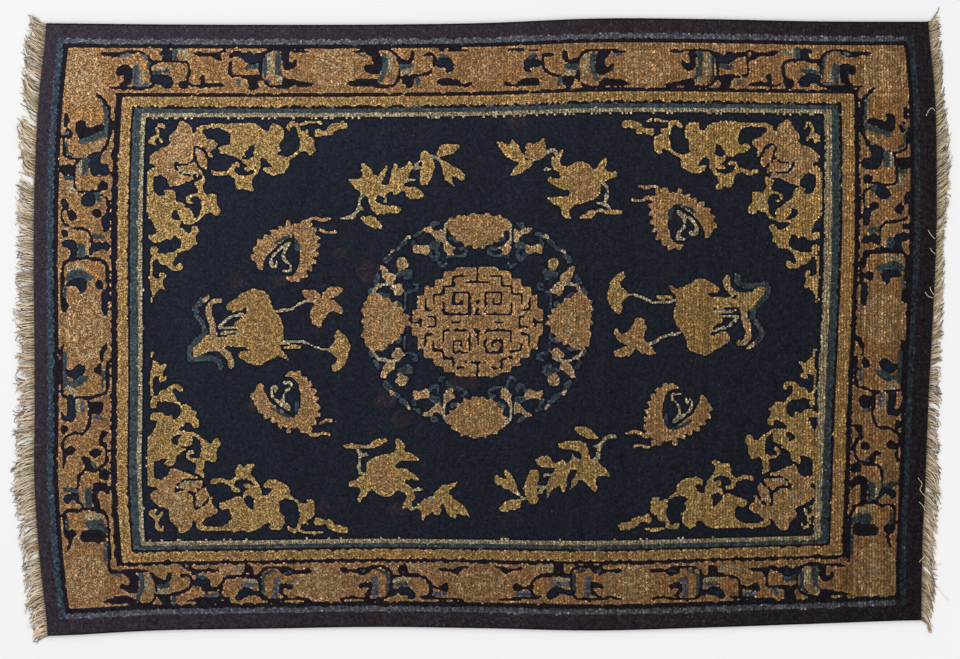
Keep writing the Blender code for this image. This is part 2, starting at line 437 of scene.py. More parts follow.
SIDE_MIDDLE = (
    (DARK, 3.4, 3.2, (62, 310), (62, 280), (64.5, 264), (75, 259), (97, 259.5), (106, 265), (107.5, 285),
     (107, 302)),
    (CREAM, (66, 273), (68, 267), (76, 264.5), (84, 265), (84, 268.5), (76, 269), (70, 274)),
    (ORANGE, (85, 265), (97, 264), (101, 268), (101, 276), (94, 279), (88, 274)),
    (TEAL, (64, 280), (70, 271), (80, 270), (90, 274.5), (95, 277), (88, 281), (80, 278), (70, 281)),
    (NAVY, (65, 285), (72, 279), (83, 278.5), (88, 282), (86, 290), (80.5, 294), (78.5, 288), (71, 286)),
    (DARK, (61.5, 299), (66, 298), (68, 308), (63, 313)),
    (TEAL, 3, 3, (65.5, 286), (65, 298)),
    (DARK, (95.5, 282), (102, 280), (104, 287), (100, 290.5), (96, 288)),
    (NAVY, (102, 292), (108, 292), (108, 312), (103.5, 315), (101, 302)),
)
SIDE_LOW = (
    (DARK, 3.2, 3.2, (64, 346), (61.5, 352), (61.5, 389), (66.5, 396.5), (87, 398), (99, 395), (107, 390),
     (107.5, 362)),
    (TEAL, 4, 4, (65, 352), (64.5, 368), (64.5, 387)),
    (NAVY, (65.5, 369), (72, 369.5), (78, 364), (83, 365), (85, 371), (80.5, 378), (73, 379), (66.5, 375)),
    (TEAL, (64, 380), (73, 381), (82, 375.5), (89.5, 377), (77, 387), (68, 385)),
    (CREAM, (66.5, 386), (73, 388), (77, 392), (75, 395), (67, 393)),
    (ORANGE, (80, 389), (88, 381), (98, 378), (101, 384), (95, 391), (83, 394)),
    (DARK, (93, 370), (99, 363.5), (102, 368), (100.5, 374.5), (95, 374)),
    (DARK, (100, 352), (105.5, 343), (108, 348), (103, 356), (104, 363), (100, 361)),
    (TEAL, 3, 3, (102.5, 388), (103.5, 372)),
    (NAVY, (67, 397), (74.5, 397), (75.5, 418), (70, 422), (63, 420.5), (60, 415), (62, 411), (65, 415.5),
     (67.5, 413)),
    (CREAM, 4, 4, (78, 400), (79, 413)),
    (SLATE, 4, 4, (82, 400), (82.5, 412)),
    (DARK, 3.2, 3.2, (88, 398), (89.5, 415), (89, 423), (84.5, 433), (74, 433.5), (66, 437), (61.8, 444),
     (64.5, 458), (63, 467)),
    (DARK, (90, 404), (96, 401.5), (103, 402), (103.5, 410), (101, 414), (95, 414), (90, 410)),
    (SLATE, 3.4, 3.4, (93, 417), (101, 418)),
    (DARK, (60.5, 428), (66, 425), (67.5, 431), (63, 434.5)),
    (DARK, (65, 449), (71, 445.5), (76, 450), (70, 455.5), (65, 453)),
    (ORANGE, 9, 9, (80, 443), (88, 445)),
    (DARK, (101, 431), (108, 432), (104.5, 439), (102.5, 447), (98, 444)),
    (DARK, 3.2, 3.2, (105, 444), (106.5, 460), (102, 467), (96, 470), (86, 470.5), (79, 475), (78, 485),
     (78, 497), (83, 508)),
    (DARK, (89.5, 453), (95, 448.5), (101.5, 450), (99, 456.5), (93, 457)),
    (DARK, (80, 459), (85, 455.5), (90, 460), (92, 468), (86, 469), (84, 462)),
    (TEAL, 3, 3, (92, 463), (95, 467)),
    (ORANGE, 11, 11, (88, 479), (93, 478)),
    (DARK, (99.5, 472), (105, 468.5), (109, 473), (107.5, 480), (100, 478)),
    (DARK, (92, 493), (94, 485), (101, 481.5), (108, 486), (108, 495), (102, 491), (98.5, 492.5),
     (99.5, 508),
     (94, 508)),
    (TEAL, 6, 6, (88, 490), (88.5, 506)),
    (CREAM, 3, 3, (82.5, 493), (83.5, 503)),
    (TEAL, 5, 5, (65, 489.5), (76, 491.5)),
    (NAVY, (62, 498), (70, 493), (78, 494), (79, 504), (72.5, 500), (67, 505)),
    (DARK, 3.4, 3.4, (64, 527), (64.5, 514), (70, 510), (78, 511.5), (85, 509), (98, 510.5), (107, 517),
     (109, 540), (109, 568)),
    (CREAM, (84, 514), (96, 513.5), (102, 518), (102, 524), (96, 520.5), (86, 518.5)),
    (TEAL, (85, 523), (104, 521), (106, 540), (101, 533), (90, 529.5)),
    (DARK, (81, 532), (92, 530), (104, 531), (104.5, 541.5), (94, 542.5), (82, 541.5)),
    (ORANGE, (70, 516), (80, 516), (84, 522), (80, 529), (74, 527)),
    (DARK, (63.5, 528), (72, 530), (76.5, 534), (72.5, 539), (71.5, 546), (66, 554), (68, 541), (64, 536)),
    (TEAL, 3, 3, (67.5, 518), (67.5, 530)),
    (SLATE, 3, 3, (105.5, 544), (106, 562)),
)

# Where each scroll unit goes: its flips and size, what is added after them, its turn
TOP_SCROLLS = (
    (SCROLL_NEAR, 1, 1, 0, 0, 0), (SCROLL_MIDDLE, 1, 1, 0, 0, 0), (SCROLL_FAR, 1, 1, 0, 0, 0),
    (SCROLL_FAR, -1, 1, 977, 0, 0), (SCROLL_MIDDLE, -1, 1, 978, 0, 0), (SCROLL_NEAR, -1, 1, 972, -1, 0),
)
BOTTOM_SCROLLS = (
    (SCROLL_FAR, 1, 0.9, -243, 526, 0), (SCROLL_LOW, -1, 1, 651, 1, 0), (SCROLL_LOW, 1, 1, 0, 0, 0),
    (SCROLL_LOW, -1, 1, 962, 0, 0), (SCROLL_LOW, 1, 1, 310, 0, 0), (SCROLL_MIDDLE, 1, 0.88, 537, 520, 0),
)
SIDE_SCROLLS = (
    (SIDE_CORNER, 1, 1, 0, 0, 0), (SIDE_MIDDLE, 1, 1, 0, 0, 0), (SIDE_LOW, 1, 1, 0, 0, 0),
    (SIDE_CORNER, -1, 1, 971.5, -7, 0), (SIDE_MIDDLE, -1, 1, 969, -9, 0), (SIDE_LOW, -1, 1, 977, -3, 2),
)
# The wide border's peonies: middle x and y, width and height
BORDER_PEONIES = (
    (84, 80, 38, 60), (884, 74, 46, 52), (86, 577, 38, 44), (876, 570, 42, 56),
    (333, 69, 44, 40), (646, 66, 48, 36), (318, 584, 50, 36), (628, 582, 50, 36),
    (85, 327, 40, 70), (883, 318, 44, 52), (485, 67, 32, 30), (480, 585, 50, 28),
)
# Petal lines in each of them: their share of its size, their lobes, and their width
PETAL_RINGS = ((0.74, 9), (0.42, 5))
PETAL_LINE = 2.3


def wide_border(chart):
    """The peonies and scrolls of the wide border."""
    board = Place()
    for x, y, wide, high in BORDER_PEONIES:
        flower = Place(x, y)
        chart.fill(flower, lobed(wide, high, 9, 0.12), PEONY, over=(TAN,))
        for share, count in PETAL_RINGS:
            petals = lobed(wide * share, high * share, count, 0.3)
            chart.stroke(flower, (*petals, petals[0]), TAN, PETAL_LINE, over=(PEONY,), raw=True)
    for rows, flip_x, flip_y, x, y, turn in TOP_SCROLLS + BOTTOM_SCROLLS + SIDE_SCROLLS:
        draw(chart, board.at(x, y, turn, flip_x, flip_y), rows)


# The corner sprays, drawn at the field's upper left corner: masses, then lines
CORNER_MASSES = (
    (SAND, (184, 122), (191, 128), (193, 134), (201, 132), (207, 138), (216, 142), (216, 147), (210, 152),
     (213, 157), (208, 159), (210, 167), (203, 172), (202, 178), (192, 182), (182, 184), (171, 187),
     (167, 179), (160, 174), (153, 170), (157, 167), (150, 161), (151, 156), (160, 149), (170, 144),
     (169, 136), (176, 130), (178, 124)),
    (STRAW, (195, 130), (202, 125), (225, 124), (254, 124), (264, 131), (270, 132), (269, 127), (275, 124),
     (283, 128), (284, 138), (279, 144), (281, 150), (277, 154), (288, 158), (289, 166), (285, 171),
     (279, 174), (269, 175), (263, 170), (265, 167), (272, 168), (267, 160), (260, 157), (254, 154),
     (254, 146), (250, 146), (245, 152), (240, 159), (230, 155), (220, 152), (219, 148), (222, 145),
     (229, 146), (231, 136), (225, 130), (216, 128), (203, 130), (200, 134)),
    (STRAW, (244, 156), (247, 160), (257, 156), (259, 161), (253, 169), (245, 172), (245, 168), (249, 166),
     (243, 163)),
    (STRAW, (237, 178), (252, 177), (251, 184), (254, 190), (250, 192), (244, 188), (240, 190), (236, 186)),
    (STRAW, (297, 128), (303, 131), (308, 130), (308, 136), (314, 139), (315, 147), (313, 154), (307, 155),
     (307, 151), (299, 151), (300, 140)),
    (STRAW, (314, 133), (318, 129), (325, 131), (330, 125), (341, 122), (347, 124), (345, 129), (334, 130),
     (333, 135), (324, 135), (317, 138)),
    (STRAW, (148, 172), (156, 168), (160, 175), (154, 177), (154, 191), (158, 195), (166, 196), (164, 191),
     (169, 189), (175, 192), (176, 200), (179, 202), (186, 206), (178, 209), (171, 214), (173, 219),
     (184, 222), (178, 225), (184, 230), (188, 233), (192, 231), (192, 227), (198, 227), (199, 232),
     (195, 239), (197, 243), (192, 246), (190, 250), (181, 249), (180, 240), (174, 235), (171, 241),
     (166, 238), (160, 243), (152, 241), (149, 237), (153, 234), (157, 235), (156, 229), (153, 223),
     (148, 216), (147, 197)),
    (STRAW, (178, 211), (184, 208), (191, 210), (193, 216), (190, 221), (184, 221), (180, 217)),
    (STRAW, (195, 181), (200, 179), (200, 176), (204, 177), (203, 189), (207, 195), (214, 193), (217, 198),
     (217, 206), (221, 210), (218, 217), (213, 215), (212, 211), (202, 215), (201, 206), (201, 199),
     (197, 195), (197, 189)),
    (STRAW, (150, 248), (155, 246), (158, 250), (155, 253), (162, 254), (176, 253), (174, 260), (172, 264),
     (176, 267), (180, 263), (183, 265), (180, 270), (172, 271), (167, 266), (160, 264), (158, 259),
     (153, 257)),
    (STRAW, (150, 276), (158, 279), (160, 277), (158, 274), (163, 273), (166, 277), (162, 281), (164, 286),
     (167, 291), (160, 289), (158, 292), (153, 297), (153, 304), (150, 301), (152, 295), (151, 286)),
)
CORNER_STEMS = (
    (STRAW, 2.6, 2.6, (162, 142), (158, 136), (157, 128), (162, 124), (164, 129)),
    (STRAW, 4.4, 4, (155, 137), (151, 141), (154, 144)),
    (STRAW, 3.6, 3.6, (259, 158), (258, 167), (253, 175), (245, 178), (236, 176), (232, 170),
     (234, 165), (239, 165)),
    (STRAW, 4, 4, (213, 173), (221, 175), (229, 172), (236, 177)),
    (STRAW, 2.6, 2.6, (287, 159), (293, 156), (300, 151)),
    (STRAW, 4, 4, (288, 128), (292, 124), (297, 125), (299, 130)),
    (STRAW, 2.4, 2.4, (300, 124), (312, 121.9), (322, 123.4)),
    (STRAW, 3, 3, (184, 222), (194, 221), (203, 214)),
    (STRAW, 3, 3, (199, 195), (192, 195), (187, 199), (189, 203), (193, 203)),
    (STRAW, 2.6, 2.6, (182, 248), (176, 253)),
    (STRAW, 2.6, 2.6, (156, 257), (151.5, 262), (151, 278)),
)
CORNER_PETALS = (
    (PEONY, 8, 6, (172, 150), (178, 140), (184, 130)),
    (PEONY, 8, 8, (166, 160), (178, 156)),
    (NAVY, 2.4, 2.4, (193.6, 148), (194, 159), (184, 165), (175, 164), (178, 171), (186, 175),
     (202, 175.4)),
    (NAVY, 2.6, 2.6, (195, 146.6), (204, 150), (209, 160), (208, 169), (203, 171)),
    (NAVY, 2.4, 2.4, (195, 158), (198, 165), (205, 170)),
    (NAVY, 3.4, 3, (186, 183.4), (196, 180), (202, 177)),
    (CREAM, 2.2, 2.2, (200, 151), (200, 157)),
    (ORANGE, 3, 3, (202, 154), (204, 164)),
    (CREAM, 2.4, 2.4, (179, 166), (183, 172), (196, 172)),
    (ORANGE, 3, 3, (186, 169.6), (195, 168)),
)
# Where the sprays go: what is added after the flips, a turn, and the flips
CORNERS = ((0, 0, 0, 1, 1), (969, -2, 0, -1, 1), (0, 655, 0, 1, -1), (966, 652, 0, -1, -1))


def corner_sprays(chart):
    """A peony with scrolling leaves in each corner of the field."""
    for corner in CORNERS:
        draw(chart, Place(*corner), CORNER_MASSES + CORNER_STEMS + CORNER_PETALS)


# The field's free motifs, drawn at its left and upper sides, and where each goes: what
# is added after its turn or flips, and those
BULB = (
    (TEAL, 5.2, 5.4, (201, 301), (196, 307), (196, 315), (201, 321), (204, 328), (203, 335), (197, 341),
     (191, 348), (189, 355), (192, 360), (201, 358), (212, 358), (219, 362), (220, 368)),
    (SLATE, 2.2, 2.2, (196, 306), (195, 314), (200, 321), (203, 328)),
    (PEONY, 4, 3, (204, 300), (209, 296.5)),
)
BULB_MASSES = (
    (STRAW, (207, 335), (219, 337), (243, 336), (246, 346), (220, 346), (213, 350), (204, 353), (194, 357),
     (193, 350), (200, 343)),
    (GOLD, (227, 304), (237, 297), (251, 289), (260, 291), (268, 295), (270, 303), (274, 311), (281, 319),
     (283.5, 330), (282, 340), (280, 346), (284, 352), (290, 361), (281, 356), (275, 357), (266, 361),
     (260, 365), (251, 364), (245, 361), (238.5, 356), (241, 351), (249, 349), (243, 345), (243, 333),
     (235, 329), (235, 323), (244, 316), (246, 308), (235, 312), (229, 310)),
    (SAND, (302, 290), (309, 290), (316, 291), (321, 297), (314, 301), (305, 297)),
    (SAND, (322, 297), (327, 289), (336, 287), (344, 290), (336, 296), (328, 298)),
    (SAND, (321, 298), (332, 300), (341, 307), (342, 316), (334, 310), (324, 318), (320, 327), (312, 322),
     (311, 312), (316, 302)),
    (STRAW, (327, 350), (332, 346), (336, 341), (334, 336), (338, 330), (346, 338), (350, 347), (348, 356),
     (345, 364), (335, 372), (332, 366), (337, 362), (335, 356)),
)
BULB_LINES = (
    (PEONY, 7, 5, (214, 338), (212, 325), (208.6, 314), (209, 306), (213, 302), (219, 300.5)),
    (PEONY, 7, 6, (208, 348), (220, 349), (228, 355), (231, 361), (230, 366)),
    (NAVY, 2.2, 2.2, (220, 347), (238, 348), (249, 350)),
    (CREAM, 2.4, 2.4, (219, 327), (226, 320), (234, 316), (243, 314)),
    (CREAM, 2.4, 2.4, (220, 328.5), (234, 327.5)),
    (CREAM, 2.4, 2.4, (221, 334), (228, 332.6), (241, 333)),
    (CREAM, 2.4, 2.4, (277, 311), (290, 309), (298, 305), (305, 301), (315, 302)),
    (CREAM, 2.4, 2.4, (281, 344), (290, 342), (305, 342.5), (315, 347), (327, 350)),
    (STRAW, 3, 3, (285, 347), (300, 347)),
)
BULBS = ((0, 0, 0), (957, 644, 180))
BUTTERFLY_WINGS = (
    (SAND, (-30, 11), (-31.5, -2), (-25, -12), (-14, -20), (4, -29), (8, -24), (6.6, -19), (-4, -12),
     (-14, -4.5), (-20, 3), (-23, 11), (-22, 14), (-26, 16)),
    (SAND, (9, -26), (17, -31), (28, -23), (30, -7), (25, 9), (17, 22), (5, 27.5), (-2, 22), (6, 22),
     (12, 14), (14.5, 1), (13, -12), (8, -18)),
)
BUTTERFLY = (
    (LAKE, 3, 3, (-14, -9), (-6, -14), (3, -18)),
    (LAKE, 4, 4, (11, -12), (11, -4)),
    (CREAM, 2.6, 2.6, (4, -12), (-6.5, -4.5), (-14, 3.4), (-14, 11), (-9, 12), (-10.5, 8)),
    (CREAM, 2.6, 2.6, (4, -10), (-2.6, -2), (-1.3, 6), (4, 11), (4, 16.5), (-2.6, 16.5)),
    (SAND, 2.7, 2.7, (14, -28), (28, -36), (36, -34), (43.5, -35.6)),
    (SAND, 2.7, 2.7, (33, -25), (41, -21), (50, -22)),
)
BUTTERFLY_EDGE = (
    (17, -32), (24, -30), (29, -24), (31.5, -16), (31.5, -8), (30, 0), (27.5, 8), (24, 15), (19, 21),
    (12, 26), (9, -28), (2, -31), (-6, -26.5), (-13, -22.5), (-20, -18), (-26, -12.5), (-30.5, -5),
     (-33, 3),
)
BUTTERFLY_HEAD = (20, -25, 30)
HEAD_SHAPE = (19, 12, 5, 0.2)
BUTTERFLIES = ((286, 254, 0, 1, 1), (286, 399, 0, 1, -1), (682, 222, 0, -1, 1), (677, 411, 0, -1, -1))
# The small teeth along an edge: width, height, lobes and their depth
TOOTH = (5.4, 5.4, 3, 0.1)
CLUSTER_MASSES = (
    (STRAW, (348, 179), (361, 179), (362, 163), (370, 169), (377, 176), (381, 172), (388, 164), (385, 175),
     (381, 183), (386, 185), (390, 182), (392, 170), (395, 163), (399, 169), (408, 163), (410, 155),
     (411, 170), (405, 181), (403, 187), (412, 187), (420, 190), (423, 196), (410, 199), (403, 191),
     (396, 195), (390, 191), (387, 195), (378, 195), (376, 201), (383, 205), (394, 206), (401, 209),
     (399, 212), (378, 214), (370, 206), (368, 196), (358, 191)),
    (STRAW, (360, 217), (370, 216), (378, 221), (383, 228), (372, 227), (364, 222)),
    (STRAW, (420, 155), (426, 151), (430, 156), (434, 163), (433, 173), (427, 184), (420, 184), (420, 172),
     (422, 162)),
    (STRAW, (436, 154), (441, 146), (450, 144), (459, 145), (453, 153), (442, 156)),
    (STRAW, (440, 160), (452, 166), (462, 172), (464, 180), (456, 177), (452, 176), (454, 186), (446, 179),
     (442, 168)),
)
CLUSTER_STEMS = (
    (CREAM, 2.7, 2.7, (380, 194), (386, 198), (384, 203)),
    (CREAM, 3, 3.4, (368, 194), (361, 196), (359, 206), (356, 213), (350, 218), (342, 218)),
    (CREAM, 2.7, 2.7, (359, 208), (364, 209)),
    (CREAM, 2.7, 2.7, (412, 169), (419, 162)),
    (CREAM, 2.7, 2.7, (405, 180.6), (415, 179.4)),
    (CREAM, 2.7, 2.7, (415, 168), (421, 168)),
    (CREAM, 2.8, 2.8, (431, 156), (436, 157.5), (441, 162)),
)
CLUSTERS = ((0, 0, 0), (958, 655, 180))
FLOWER_MASSES = (
    (STRAW, (553, 156), (561, 165), (570, 167), (575, 162), (584, 162), (595, 169), (599, 163), (608, 156),
     (606, 170), (618, 173), (609, 180), (601, 184), (599, 195), (591, 201), (575, 205), (570, 210),
     (570, 219), (561, 213), (562, 207), (555, 205), (547, 198), (566, 197), (570, 190), (560, 189),
     (546, 178), (559, 179), (560, 175), (552, 166)),
    (STRAW, (578, 218), (590, 211), (598, 210), (592, 218), (585, 219)),
    (SAND, (575, 170), (585, 168), (594, 176), (597, 190), (588, 199), (574, 200), (573, 186), (569, 178)),
)
FLOWER_STEMS = (
    (STRAW, 5, 2.6, (557, 160), (562, 151)),
    (CREAM, 2.7, 2.7, (532, 159), (538, 159)),
    (CREAM, 2.8, 2.8, (545, 154), (551, 150), (556, 150), (556, 156)),
    (CREAM, 2.7, 2.7, (543, 168), (551, 169)),
    (CREAM, 2.8, 3.4, (602, 182), (607, 189), (606, 203), (611, 212)),
    (CREAM, 2.7, 2.7, (598, 203), (605, 203)),
    (CREAM, 2.7, 2.7, (597, 211), (608, 211)),
    (STRAW, 5, 3, (607, 212), (622, 212)),
    (SAND, 5, 4, (542, 147), (543, 140)),
)
FLOWER_LEAVES = (
    (527, 163, 215, 38, 13, 0, 3), (521, 158, 240, 22, 8, 0, 0), (534, 159, 146, 30, 9, 0, 0),
)
FLOWERS = ((0, 0, 0), (966, 658, 180))
# Small blossoms of the flower spray: middle x and y, width and height
BLOSSOMS = ((539, 151, 15, 17), (529, 147, 8, 8), (529, 155, 9, 8))


def field_motifs(chart):
    """Bulbs, butterflies and flowering sprays, each drawn once and set round the field."""
    for spot in BULBS:
        draw(chart, Place(*spot), BULB + BULB_MASSES + BULB_LINES)
    for spot in BUTTERFLIES:
        place = Place(*spot)
        for tooth in BUTTERFLY_EDGE:
            chart.fill(place.at(*tooth), lobed(*TOOTH), SAND)
        flipped = spot[3] < 0
        if flipped:
            chart.fill(place.at(*BUTTERFLY_HEAD), lobed(*HEAD_SHAPE), LAKE)
        draw(chart, place, BUTTERFLY_WINGS + BUTTERFLY)
    for spot in CLUSTERS:
        draw(chart, Place(*spot), CLUSTER_MASSES + CLUSTER_STEMS)
    for spot in FLOWERS:
        place = Place(*spot)
        leaves(chart, place, STRAW, FLOWER_LEAVES)
        draw(chart, place, FLOWER_MASSES + FLOWER_STEMS)
        for x, y, wide, high in BLOSSOMS:
            chart.fill(place.at(x, y), lobed(wide, high, 5, 0.1), SAND)


# The medallion, its points counted from its middle: the roundel's steps as half height
# and half width, a plain fret of straight lines, and the ring's parts. The fret and
# the ring's small parts are drawn in the lower right quarter.
MEDALLION = (477.5, 322.0)
ROUNDEL = ((54.5, 22), (50.5, 34), (43.5, 43), (35.5, 53), (26.5, 60), (13, 65))
FRET = (
    ((0, 40), (0, 55)), ((0, 40), (12, 40)),
    ((12, 46), (24, 46), (24, 36), (34, 36), (34, 28), (44, 28), (44, 18)),
    ((52, 24), (52, 12), (44, 12)),
    ((57, 0), (65, 0)), ((57, 0), (57, 5)),
    ((8, 8), (8, 30), (24, 30), (24, 18), (16, 18), (16, 24)),
    ((8, 8), (34, 8), (34, 20)),
    ((0, 8), (0, 22)), ((0, 8), (3, 8)),
    ((16, 0), (26, 0)), ((42, 5), (50, 5)), ((42, 0), (42, 5)),
)
RING_MASSES = (
    (PEONY, (55.5, 92.5), (48.5, 95), (42, 90), (36.5, 93), (36, 82), (39.5, 80), (44.5, 86), (50, 90)),
    (PEONY, (64.5, 74), (60.5, 78), (55.5, 76), (48.5, 77), (48, 71), (52.5, 66.5), (57.5, 70), (63.5, 68)),
    (PEONY, (32.5, 79), (29.5, 81), (26.5, 77), (20.5, 74), (25.5, 72), (24, 68), (27.5, 67), (33.5, 72)),
    (PEONY, (97.5, 55), (93.5, 56), (88.5, 50), (82.5, 46), (82.5, 42), (87.5, 39.5), (93.5, 43)),
    (PEONY, (81.5, 61), (77.5, 64), (72.5, 63), (69.5, 57), (73.5, 53), (78.5, 51.5)),
    (PEONY, (86.5, 35), (78.5, 36), (74.5, 32), (76.5, 27), (81.5, 27), (84.5, 31)),
)
RING = (
    (CREAM, 2.8, 2.8, (27.5, 101), (32.5, 97), (33, 79)),
    (TEAL, 4, 5, (40, 99), (45, 97)),
    (TEAL, 8, 6, (41, 78), (46, 76)),
    (LAKE, 4, 3.4, (47.5, 68), (43.5, 63), (39.5, 65), (40.5, 71)),
    (LAKE, 2.4, 3, (30.5, 66), (30.5, 59), (34.5, 55), (38.5, 59)),
    (TEAL, 2.4, 3, (29.5, 66), (17.5, 66), (11.5, 69), (13.5, 74), (17.5, 73)),
    (TEAL, 5, 4, (26, 84), (21, 81)),
    (CREAM, 4, 3, (68, 86), (71, 84)),
    (TEAL, 5, 5, (72, 81), (76, 78)),
    (LAKE, 4, 4, (63, 82), (65, 79)),
    (TEAL, 4, 3, (58, 89), (63, 87)),
    (LAKE, 4, 4, (78, 75), (81, 72)),
    (PEONY, 3.4, 3, (85, 72), (88, 68)),
    (TEAL, 6, 5, (89, 65), (92, 61)),
    (TEAL, 6, 6, (67, 50), (78, 48)),
    (LAKE, 4, 4, (67, 45), (72, 44)),
    (LAKE, 2.4, 3, (70.5, 31), (62.5, 32), (60.5, 37), (64.5, 38)),
    (CREAM, 2.9, 2.7, (106, 24), (102.5, 33), (95.5, 37.5), (85.5, 38.5), (77.5, 37), (74, 31)),
    (LAKE, 4, 3, (96, 28), (89, 26)),
    (TEAL, 5, 4, (80, 19), (77, 17)),
    (TEAL, 2.2, 2.2, (72.5, 29), (72.5, 13)),
    (TEAL, 3.4, 3, (108, 29), (106, 34)),
    (LAKE, 4, 4, (102, 39), (99, 46)),
)
RING_PEONIES = (
    (SAND, (-28.5, -97), (-22.5, -104), (0, -107), (22.5, -105), (29.5, -97), (22.5, -85), (12.5, -79),
     (0, -75), (-14.5, -80), (-24.5, -89)),
    (SAND, (-28.5, 99), (-18, 110), (0, 114), (18, 110), (27, 99), (22, 87), (12.5, 80), (0, 76),
     (-14.5, 81), (-24.5, 90)),
    (SAND, (-112, -19), (-103, -27), (-87, -21), (-77, -12), (-69, -1), (-77, 11), (-86, 20), (-102, 27),
     (-112, 20), (-113.5, 0)),
    (SAND, (112, -20), (102, -27), (86, -20), (77, -11), (71, -2), (77, 12), (87, 21), (103, 26),
     (111, 19), (113, 0)),
)
RING_PETALS = (
    (CREAM, 2.3, 2.3, (-15, -86), (-8, -97), (0, -92), (8, -97), (15, -86)),
    (CREAM, 2.3, 2.3, (-15, 89), (-8, 100), (0, 95), (8, 100), (15, 89)),
    (CREAM, 2.3, 2.3, (-84, -12), (-95, -8), (-90, 0), (-95, 8), (-84, 12)),
    (CREAM, 2.3, 2.3, (84, -12), (95, -8), (90, 0), (95, 8), (84, 12)),
)
QUARTERS = ((1, 1), (1, -1), (-1, 1), (-1, -1))
FRET_LINE = 2.4
TEETH_EVERY = 3


def medallion(chart):
    """The stepped roundel with its fret, and the ring of peonies and leaves round it."""
    for flips in QUARTERS:
        draw(chart, Place(*MEDALLION, 0, *flips), RING + RING_MASSES)
    middle = Place(*MEDALLION)
    draw(chart, middle, RING_PEONIES)
    for yarn, *outline in RING_PEONIES:
        for tooth in smooth(outline, closed=True)[::TEETH_EVERY]:
            chart.fill(middle.at(*tooth), lobed(*TOOTH), yarn)
    draw(chart, middle, RING_PETALS)
    for half_high, half_wide in ROUNDEL:
        corners = ((-half_wide, -half_high), (half_wide, -half_high), (half_wide, half_high),
                   (-half_wide, half_high))
        chart.fill(middle, corners, SAND)
    for flips in QUARTERS:
        for line in FRET:
            chart.stroke(Place(*MEDALLION, 0, *flips), line, DARK, FRET_LINE, raw=True)


# Faint reworked patches in the field: x, y, width and height
PATCHES = (
    (238, 281, 22, 14), (280, 281, 16, 12), (254, 405, 14, 12), (340, 253, 14, 12), (369, 272, 26, 24),
    (463, 383, 36, 16), (385, 401, 24, 16), (400, 420, 20, 16), (397, 509, 22, 16), (324, 507, 14, 16),
    (517, 122, 20, 14),
)


def patches(chart):
    """Faint reddish patches of the field's ground."""
    for x, y, wide, high in PATCHES:
        chart.fill(Place(x, y), lobed(wide, high, 5, 0.3), RUST, over=(NAVY,))


def knot_chart():
    """The whole pattern."""
    chart = Chart()
    chart.stripes()
    patches(chart)
    wide_border(chart)
    corner_sprays(chart)
    field_motifs(chart)
    medallion(chart)
    return chart


# The carpet's two pieces: the field is a window of the knot grid, in whole knots. Then where the rim turns
# down, in knots, the pile's unevenness in metres, its ribs, which are painted as light and shade in the
# wool's colour, and how far a motif's edge is smoothed, in knots
FIELD_COLUMNS = (54, 384)
FIELD_ROWS = (44, 254)
RIM_STEPS = (0.08, 0.3)
RIM_KNOTS = 0.62
PILE_SINK = 0.0003
PILE_WANDER = 0.0003
# The ribs are painted light and shade, not shaped: their pitch in metres, the painted shade's depth, and
# their wander
RIB_PITCH = 0.0059
RIB_SHADE_DEPTH = 0.55
RIB_WANDER = 9.0
KNOT_SHIFT = 0.00028
SETTLE_ROUNDS = 2
SETTLE_SHARE = 0.5
SETTLE_LIMIT = 0.27
DARK_SINK = 0.0008
MIDDLE_SHARE = 0.5
BACK_TURN = 0.9
SEAM_GAP = 0.00004

# How far the dyes of each yarn vary from knot to knot, as a share of their colour
DYE_SPREAD = {
    NAVY: 0.12, AUBERGINE: 0.16, SLATE: 0.22, TAN: 0.15, ORANGE: 0.15, PEONY: 0.13, GOLD: 0.15,
    TEAL: 0.2, CREAM: 0.14, DARK: 0.16, SAND: 0.15, STRAW: 0.15, RUST: 0.14, LAKE: 0.22,
}
# Painted highlights and shade along the motifs' edges: for each dark knot beside a light one, up to a few,
# how much lighter the light one is painted, a highlight where more of its side shows, and how much paler.
# Then the painted shade: how much darker a navy knot beside a light one is. Lightness is counted in powers
# of e.
EDGE_LIGHT = 0.19
EDGE_PALE = 0.07
EDGE_MOST = 3.0
EDGE_SHADE = 0.4
# How the dye lots change along the rug: over how many knots, how strongly, and at most
LOT_KNOTS = 41
LOT_SHARE = 0.02
LOT_LIMIT = 0.08
# How strongly each line of knots across the rug differs from the next: at the left end,
# more of it at the right end, and how much less of it the dark grounds show
LINE_TONES = (0.04, 0.15)
GROUND_CALM = 0.75
# How much more uneven the knots are at the right and at the bottom, and how warmth
# varies from knot to knot and grows to the right
UNEVEN = (0.6, 0.4)
WARMTH = (0.03, 0.06)
# Painted shade: how much darker the knots' colours are made towards the right and the bottom, as if the
# light fell from the upper left, as powers of e, and how much more so to the right in the aubergine and
# lake yarns
PAINTED_SHADE_ALONG = 0.62
PAINTED_SHADE_ACROSS = 0.42
PLAIN_PAINTED_SHADE = 0.5

# The materials: how many fibre ends lie along a metre of wool, and their painted highlights and shade: what
# the brightest gains in light over the darkest and how light that is, how their light falls off sideways
# into painted shade between them, their painted glint and their bump. Then the scale, light and bump of
# cotton's fibres.
END_SCALE = 600.0
END_LIGHT = (2.3, 0.24)
END_FALL = (1.65, 1.15)
GLINT_FROM = 1.2
GLINT = 0.015
WOOL_BUMP = (0.5, 0.0012)
FIBRE_SCALE = 1400.0
FIBRE_LIGHT = (0.6, 0.8)
COTTON_BUMP = (0.6, 0.0006)

